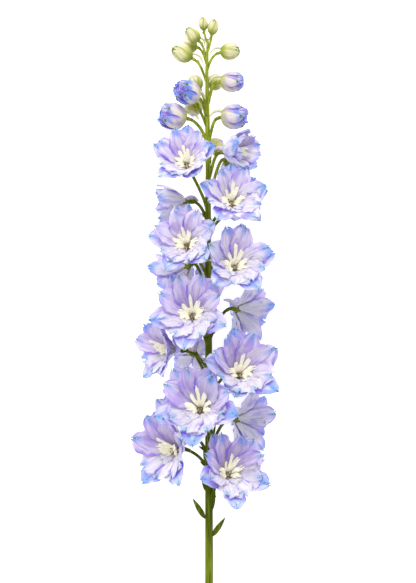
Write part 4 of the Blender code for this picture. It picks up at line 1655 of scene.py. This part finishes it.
@dataclass(frozen=True)
class BudPiece:
    """A closed bud: a heart wrapped in five overlapping sepals, with its spur.

    A sepal's half span, its turn along its length and its step to the next are in degrees. Its
    top and its curl are given for a ripe bud and for a green one.
    """

    plan: BudPlan
    sepals: int = 5
    crumples: int = 7
    thickness: float = 0.45
    half_span: float = 52.0
    sepal_turn: float = 40.0
    sepal_step: float = 72.0
    crumple_step: float = 51.4
    tops: tuple[float, float] = (0.88, 0.985)
    curls: tuple[float, float] = (0.14, 0.04)
    spur_bend: float = -50.0

    def profile(self, height: np.ndarray) -> np.ndarray:
        """The bud's outline.

        Args:
            height: Shares of its length.

        Returns:
            Its radius there, as a share of its largest.
        """
        share = np.clip(height, 0.0, 1.0)
        if self.plan.ripe:
            return np.sin(0.96 * math.pi * share ** 0.95) ** 0.42
        return np.sin(math.pi * share ** 0.93) ** 0.5

    def sepal(self, facing: Facing, k: int, blank: Blank) -> np.ndarray:
        """One sepal, with a margin over its neighbour and the other under the next.

        Args:
            facing: The bud's frame.
            k: The sepal's number.
            blank: The blank that it is cut from.

        Returns:
            Its points.
        """
        plan, x, y = self.plan, blank.across, blank.along
        rng = random.Random(f"{plan.name}-{k}")
        size = 0.5 * plan.width
        span = x * self.half_span * (1.0 - 0.55 * y ** 4)
        azimuth = self.sepal_step * k + self.sepal_turn * y + span + rng.uniform(-4.0, 4.0)
        top, curl = (pair[0 if plan.ripe else 1] for pair in (self.tops, self.curls))
        height = 0.02 + (top + rng.uniform(-0.05, 0.04) - 0.02) * y - curl * y ** 2 * x ** 2
        wave = 0.03 * np.sin(6.0 * y + 5.0 * x + k) * y if plan.ripe else 0.0
        radius = size * (0.92 * self.profile(height) + 0.07 * x + 0.03 + wave)
        ridge = 0.06 * size * (1.0 - x ** 2) * np.sin(math.pi * y)
        knob = 0.10 * size * np.exp(-((x / 0.2) ** 2) - (((y - 0.86) / 0.08) ** 2))
        return facing.points(azimuth, radius + ridge + knob, plan.length * height)

    def crumple(self, facing: Facing, k: int, blank: Blank) -> np.ndarray:
        """One of the crumpled inner petals that fill a ripe bud's mouth.

        Args:
            facing: The bud's frame.
            k: The petal's number. The odd ones are larger and narrower.
            blank: The blank that it is cut from.

        Returns:
            Its points.
        """
        plan, x, y = self.plan, blank.across, blank.along
        rng = random.Random(f"{plan.name}-crumple-{k}")
        phase = [rng.uniform(0.0, 2.0 * math.pi) for _ in range(3)]
        share, half_span = (0.84, 40.0) if k % 2 else (0.58, 62.0)
        azimuth = self.crumple_step * k + rng.uniform(-8.0, 8.0) + x * half_span
        wave = waves(x, (0.5, 5.0, phase[0]), (0.5, 11.0, phase[1]))
        height = 0.45 + (0.53 + rng.uniform(-0.05, 0.02) + 0.03 * wave) * y
        fold = 0.10 * y * np.sin(8.0 * x + 3.0 * y + phase[2])
        radius = 0.5 * plan.width * share * (self.profile(np.minimum(height, 0.93)) + fold)
        return facing.points(azimuth, radius, plan.length * height)

    def build(self, blank: Blank) -> bpy.types.Object:
        """Builds the bud.

        Args:
            blank: The sepals' blank.

        Returns:
            The finished piece.
        """
        plan = self.plan
        facing = Facing(plan)
        layers = [GREEN_SEPAL.material]
        if plan.coloured:
            layers = [RIPE_SEPAL.material, CRUMPLE_FINISH.material]
        sheets = []
        for k in range(self.sepals):
            name, tone = f"{plan.name}_sepal_{k}", (k + 0.5) / self.sepals
            points = self.sepal(facing, k, blank)
            sheets.append(blank.copy(name, points, layers, tone, 0, plan.colour_and_painted_lift))
        for k in range(self.crumples if plan.ripe else 0):
            name, tone = f"{plan.name}_crumple_{k}", k / self.crumples
            sheets.append(blank.copy(name, self.crumple(facing, k, blank), layers, tone, 1, 0.5))
        wrap = joined(sheets, f"{plan.name}_wrap")
        thickened(wrap, self.thickness)
        levels = np.linspace(0.0, 0.90 if plan.ripe else 1.0, 9)
        heart = rod(
            f"{plan.name}_heart",
            facing.stations(plan.length * levels),
            0.5 * plan.width * np.maximum(0.05, 0.86 * self.profile(levels)),
            (BUD_HEART if plan.ripe else RECEPTACLE_FINISH).material,
            5,
        )
        parts = [wrap, heart]
        if plan.tail:
            start = facing.origin + facing.axis * (0.12 * plan.length)
            start = start + facing.top * (0.16 * plan.width)
            path = spur_path(facing, start, plan.tail, self.spur_bend, 0.04 * plan.width + 0.55)
            parts.append(rod(f"{plan.name}_spur", *path, TAIL_FINISH.material, 3))
        piece = joined(parts, f"{plan.name}_sepals")
        return finished(piece, [plan.name])


@dataclass(frozen=True)
class Stem:
    """The green stem with its ribs, its stalks and its small leaves.

    A swell is a stalk's radius over its first two and its last three points, as a share of the
    rest. A bract's place is its step along the stalk and its share of a bract's length.
    """

    ribs: int = 9
    rib_depth: float = 0.07
    sides: int = 36
    step: float = 9.0
    stalk_steps: int = 10
    stalk_radius: float = 1.15
    bud_stalk_radius: float = 0.75
    flower_swell: tuple[float, ...] = (1.5, 1.15, 1.1, 1.35, 1.6)
    bud_swell: tuple[float, ...] = (1.4, 1.1, 1.1, 1.3, 1.5)
    barrel_depth: float = 3.0
    stalk_gap: float = 0.6
    bract_length: float = 6.5
    bud_bract_share: float = 0.55
    bract_width: float = 1.7
    bract_places: tuple[tuple[int, float], ...] = ((1, 1.0), (7, 0.8), (8, 0.7))
    leaf_thickness: float = 0.5

    def at(self, along: float) -> tuple[np.ndarray, float]:
        """The stem this far up it.

        Args:
            along: The place in the spike's millimetres.

        Returns:
            The point on its axis and its radius.
        """
        places, *rows = zip(*STEM_STATIONS)
        across, lift, radius = (float(np.interp(along, places, row)) for row in rows)
        return np.array((across, along, lift)), radius

    def shaft(self) -> bpy.types.Object:
        """Draws the ribbed shaft out of a disc, station by station.

        Returns:
            The shaft.
        """
        first, last = STEM_STATIONS[0][0], STEM_STATIONS[-1][0]
        point, radius = self.at(first)
        made = added(
            bpy.ops.mesh.primitive_circle_add,
            "stem_shaft",
            vertices=self.sides,
            radius=radius * MM,
            fill_type="NGON",
            location=tuple((point - ORIGIN) * MM),
            rotation=(math.radians(-90.0), 0.0, 0.0),
        )
        bpy.ops.object.mode_set(mode="EDIT")
        bpy.ops.mesh.select_all(action="SELECT")
        for along in np.linspace(first, last, int((last - first) / self.step) + 1)[1:]:
            onward, wide = self.at(float(along))
            bpy.ops.mesh.extrude_region_move(
                TRANSFORM_OT_translate={"value": tuple((onward - point) * MM)}
            )
            bpy.ops.transform.resize(
                value=(wide / radius,) * 3, center_override=tuple((onward - ORIGIN) * MM)
            )
            point, radius = onward, wide
        bpy.ops.mesh.select_all(action="SELECT")
        bpy.ops.mesh.normals_make_consistent(inside=False)
        bpy.ops.object.mode_set(mode="OBJECT")
        bpy.ops.object.transform_apply(location=True, rotation=True, scale=True)
        self.rib(made)
        made.data.materials.append(STEM_FINISH.material)
        bpy.ops.object.shade_smooth_by_angle(angle=math.radians(60.0))
        return made

    def rib(self, shaft: bpy.types.Object) -> None:
        """Draws the grooves between the shaft's ribs towards its axis.

        Args:
            shaft: The shaft.
        """
        for corner in shaft.data.vertices:
            place = np.array(corner.co) / MM + ORIGIN
            axis, _ = self.at(float(place[1]))
            spoke = place - axis
            turn = math.atan2(spoke[2], spoke[0])
            groove = self.rib_depth * (0.5 - 0.5 * math.cos(self.ribs * turn)) ** 2
            corner.co = (axis + spoke * (1.0 - groove) - ORIGIN) * MM

    def stalk_path(self, plan: Plan) -> list[np.ndarray]:
        """The line of a stalk, from inside the stem to just behind its flower or bud.

        Args:
            plan: The flower or the bud.

        Returns:
            The points in the spike's millimetres.
        """
        facing = Facing(plan)
        seat = self.stalk_gap + (self.barrel_depth if isinstance(plan, FlowerPlan) else 0.0)
        end = facing.origin - facing.axis * seat
        root, radius = self.at(min(end[1] - 3.0, plan.along - plan.stalk))
        outward = end - root
        outward[1] = 0.0
        outward = unit(outward)
        reach = float(np.linalg.norm(end - root))
        first = root + (outward * 0.45 + np.array((0.0, 0.85, 0.0))) * (0.42 * reach)
        second = end - facing.axis * (0.36 * reach)
        start = root + outward * (0.3 * radius)
        points = []
        for k in range(self.stalk_steps + 1):
            t = k / self.stalk_steps
            s = 1.0 - t
            points.append(
                start * s ** 3 + first * (3 * t * s ** 2) + second * (3 * t * t * s) + end * t ** 3
            )
        return points + [end + facing.axis * 1.2]

    def stalk(self, plan: Plan) -> bpy.types.Object:
        """Builds the stalk of a flower or a bud.

        Args:
            plan: The flower or the bud.

        Returns:
            The stalk.
        """
        size, swell = self.stalk_radius, self.flower_swell
        if isinstance(plan, BudPlan):
            size, swell = self.bud_stalk_radius + 0.02 * plan.width, self.bud_swell
        path = self.stalk_path(plan)
        shares = (*swell[:2], *[1.0] * (len(path) - len(swell)), *swell[2:])
        radii = [size * share for share in shares]
        return rod(f"{plan.name}_stalk", path, radii, STEM_FINISH.material)

    def leaf(
        self, name: str, root: np.ndarray, tip: np.ndarray, width: float, blank: Blank
    ) -> bpy.types.Object:
        """A small spear-shaped leaf.

        Args:
            name: Its name.
            root: Where it leaves the stem.
            tip: Where it ends.
            width: Its width in millimetres.
            blank: The blank that it is cut from.

        Returns:
            The leaf as a sheet.
        """
        line = tip - root
        side = unit(np.cross(line, (0.0, 0.0, 1.0)))
        normal = unit(np.cross(side, line))
        x, y = blank.across, blank.along
        half = 0.5 * width * (0.30 * (1.0 - y) + np.sin(math.pi * np.clip(y, 0, 1) ** 0.8) ** 0.9)
        rise = 0.09 * np.linalg.norm(line) * np.sin(math.pi * y) + 0.25 * np.abs(x) * half
        points = root + y[:, None] * line + (x * half)[:, None] * side + rise[:, None] * normal
        return blank.copy(name, points, [STEM_FINISH.material])

    def bracts(self, plan: Plan, blank: Blank) -> list[bpy.types.Object]:
        """Builds the slim bract at the foot of a stalk and the pair of them further up it.

        Args:
            plan: The stalk's flower or bud.
            blank: The bracts' blank.

        Returns:
            The bracts as sheets.
        """
        path = self.stalk_path(plan)
        rng = random.Random(f"{plan.name}-bract")
        size = self.bract_length * (1.0 if isinstance(plan, FlowerPlan) else self.bud_bract_share)
        made = []
        for k, (step, share) in enumerate(self.bract_places):
            root = path[step]
            onward = unit(path[step + 1] - root)
            spans = (-1.0, 1.0), (-0.3, 0.6), (0.0, 1.0)
            turn = np.array([rng.uniform(*span) for span in spans])
            away = unit(turn - onward * turn.dot(onward))
            tip = root + (onward * 0.85 + away * 0.52) * size * share
            made.append(self.leaf(f"{plan.name}_bract_{k}", root, tip, self.bract_width, blank))
        return made

    def build(self, blank: Blank) -> bpy.types.Object:
        """Builds the stem, its stalks, its leaves and its bracts as one piece.

        Args:
            blank: The leaves' and bracts' blank.

        Returns:
            The finished piece.
        """
        plans = (*FLOWERS, *BUDS)
        leaves = [bract for plan in plans for bract in self.bracts(plan, blank)]
        for k, (across, along, tip_across, tip_along, tip_lift, width) in enumerate(LEAVES):
            axis, _ = self.at(along)
            root = np.array((across, along, axis[2] + 0.5))
            tip = np.array((tip_across, tip_along, axis[2] + tip_lift))
            leaves.append(self.leaf(f"leaf_{k}", root, tip, width, blank))
        foliage = joined(leaves, "foliage")
        thickened(foliage, self.leaf_thickness)
        shaft = self.shaft()
        stalks = [self.stalk(plan) for plan in plans]
        piece = joined([shaft, *stalks, foliage], "stem_green")
        return finished(piece, ["stem"])


@dataclass(frozen=True)
class Lamp:
    """A soft square lamp that points at the spike's middle, in metres and watts."""

    name: str
    place: tuple[float, float, float]
    size: float
    power: float

    def hang(self) -> None:
        """Hangs the lamp."""
        lamp = added(bpy.ops.object.light_add, self.name, type="AREA", location=self.place)
        lamp.data.size = self.size
        lamp.data.energy = self.power
        lamp.rotation_euler = (-Vector(self.place)).to_track_quat("-Z", "Y").to_euler()


@dataclass(frozen=True)
class Studio:
    """The pale table, the soft light and the camera straight above."""

    view_height: float = 437.25
    view_middle: tuple[float, float] = (-0.4, 218.6)
    focus_height: float = 12.0
    lens: float = 400.0
    sensor: float = 36.0
    table_size: float = 12.0
    sky: float = 0.66
    sky_colour: Colour = (0.97, 0.98, 1.0)
    lamps: tuple[Lamp, ...] = (
        Lamp("key", (-0.20, 1.25, 1.15), 0.8, 17.4),
        Lamp("fill", (0.5, -0.6, 1.6), 1.2, 1.5),
        Lamp("side", (-1.3, -0.1, 0.45), 0.9, 2.5),
    )

    def table(self) -> None:
        """Lays the table's plain surface under the spike."""
        table = added(bpy.ops.mesh.primitive_plane_add, "table_top", size=self.table_size)
        table.data.materials.append(FLOOR_FINISH.material)

    def light(self) -> None:
        """Sets a bright even sky, a soft key from the spike's tip and two weak fills."""
        world = bpy.data.worlds.new("Sky")
        world.use_nodes = True
        background = world.node_tree.nodes["Background"]
        background.inputs["Color"].default_value = (*self.sky_colour, 1.0)
        background.inputs["Strength"].default_value = self.sky
        bpy.context.scene.world = world
        for lamp in self.lamps:
            lamp.hang()

    def camera(self) -> None:
        """Puts the camera straight over the spike, at the photo's frame."""
        x, y, z = (np.array((*self.view_middle, self.focus_height)) - ORIGIN) * MM
        distance = self.view_height * MM * self.lens / self.sensor
        camera = added(bpy.ops.object.camera_add, "Camera", location=(x, y, z + distance))
        camera.rotation_euler = (0.0, 0.0, 0.0)
        camera.data.lens = self.lens
        camera.data.sensor_width = self.sensor
        camera.data.clip_end = 100.0
        bpy.context.scene.camera = camera

    def build(self) -> None:
        """Sets up the table, the lights, the camera and plain colour handling."""
        self.table()
        self.light()
        self.camera()
        bpy.context.scene.view_settings.view_transform = "Standard"
        bpy.context.scene.view_settings.look = "None"


def main() -> None:
    """Builds every piece of the spike and the studio round it."""
    logging.basicConfig(level=logging.INFO, format="%(name)s %(message)s")
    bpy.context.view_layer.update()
    petal_blank = Blank.cut(columns=20, rows=18)
    sepal_blank = Blank.cut(columns=12, rows=16)
    lobe_blank = Blank.cut(columns=12, rows=10)
    leaf_blank = Blank.cut(columns=4, rows=8)
    for plan in FLOWERS:
        Bloom(plan).build(petal_blank)
        Eye(plan).build(lobe_blank)
    for plan in BUDS:
        BudPiece(plan).build(sepal_blank)
    Stem().build(leaf_blank)
    Studio().build()


if __name__ == "__main__":
    main()
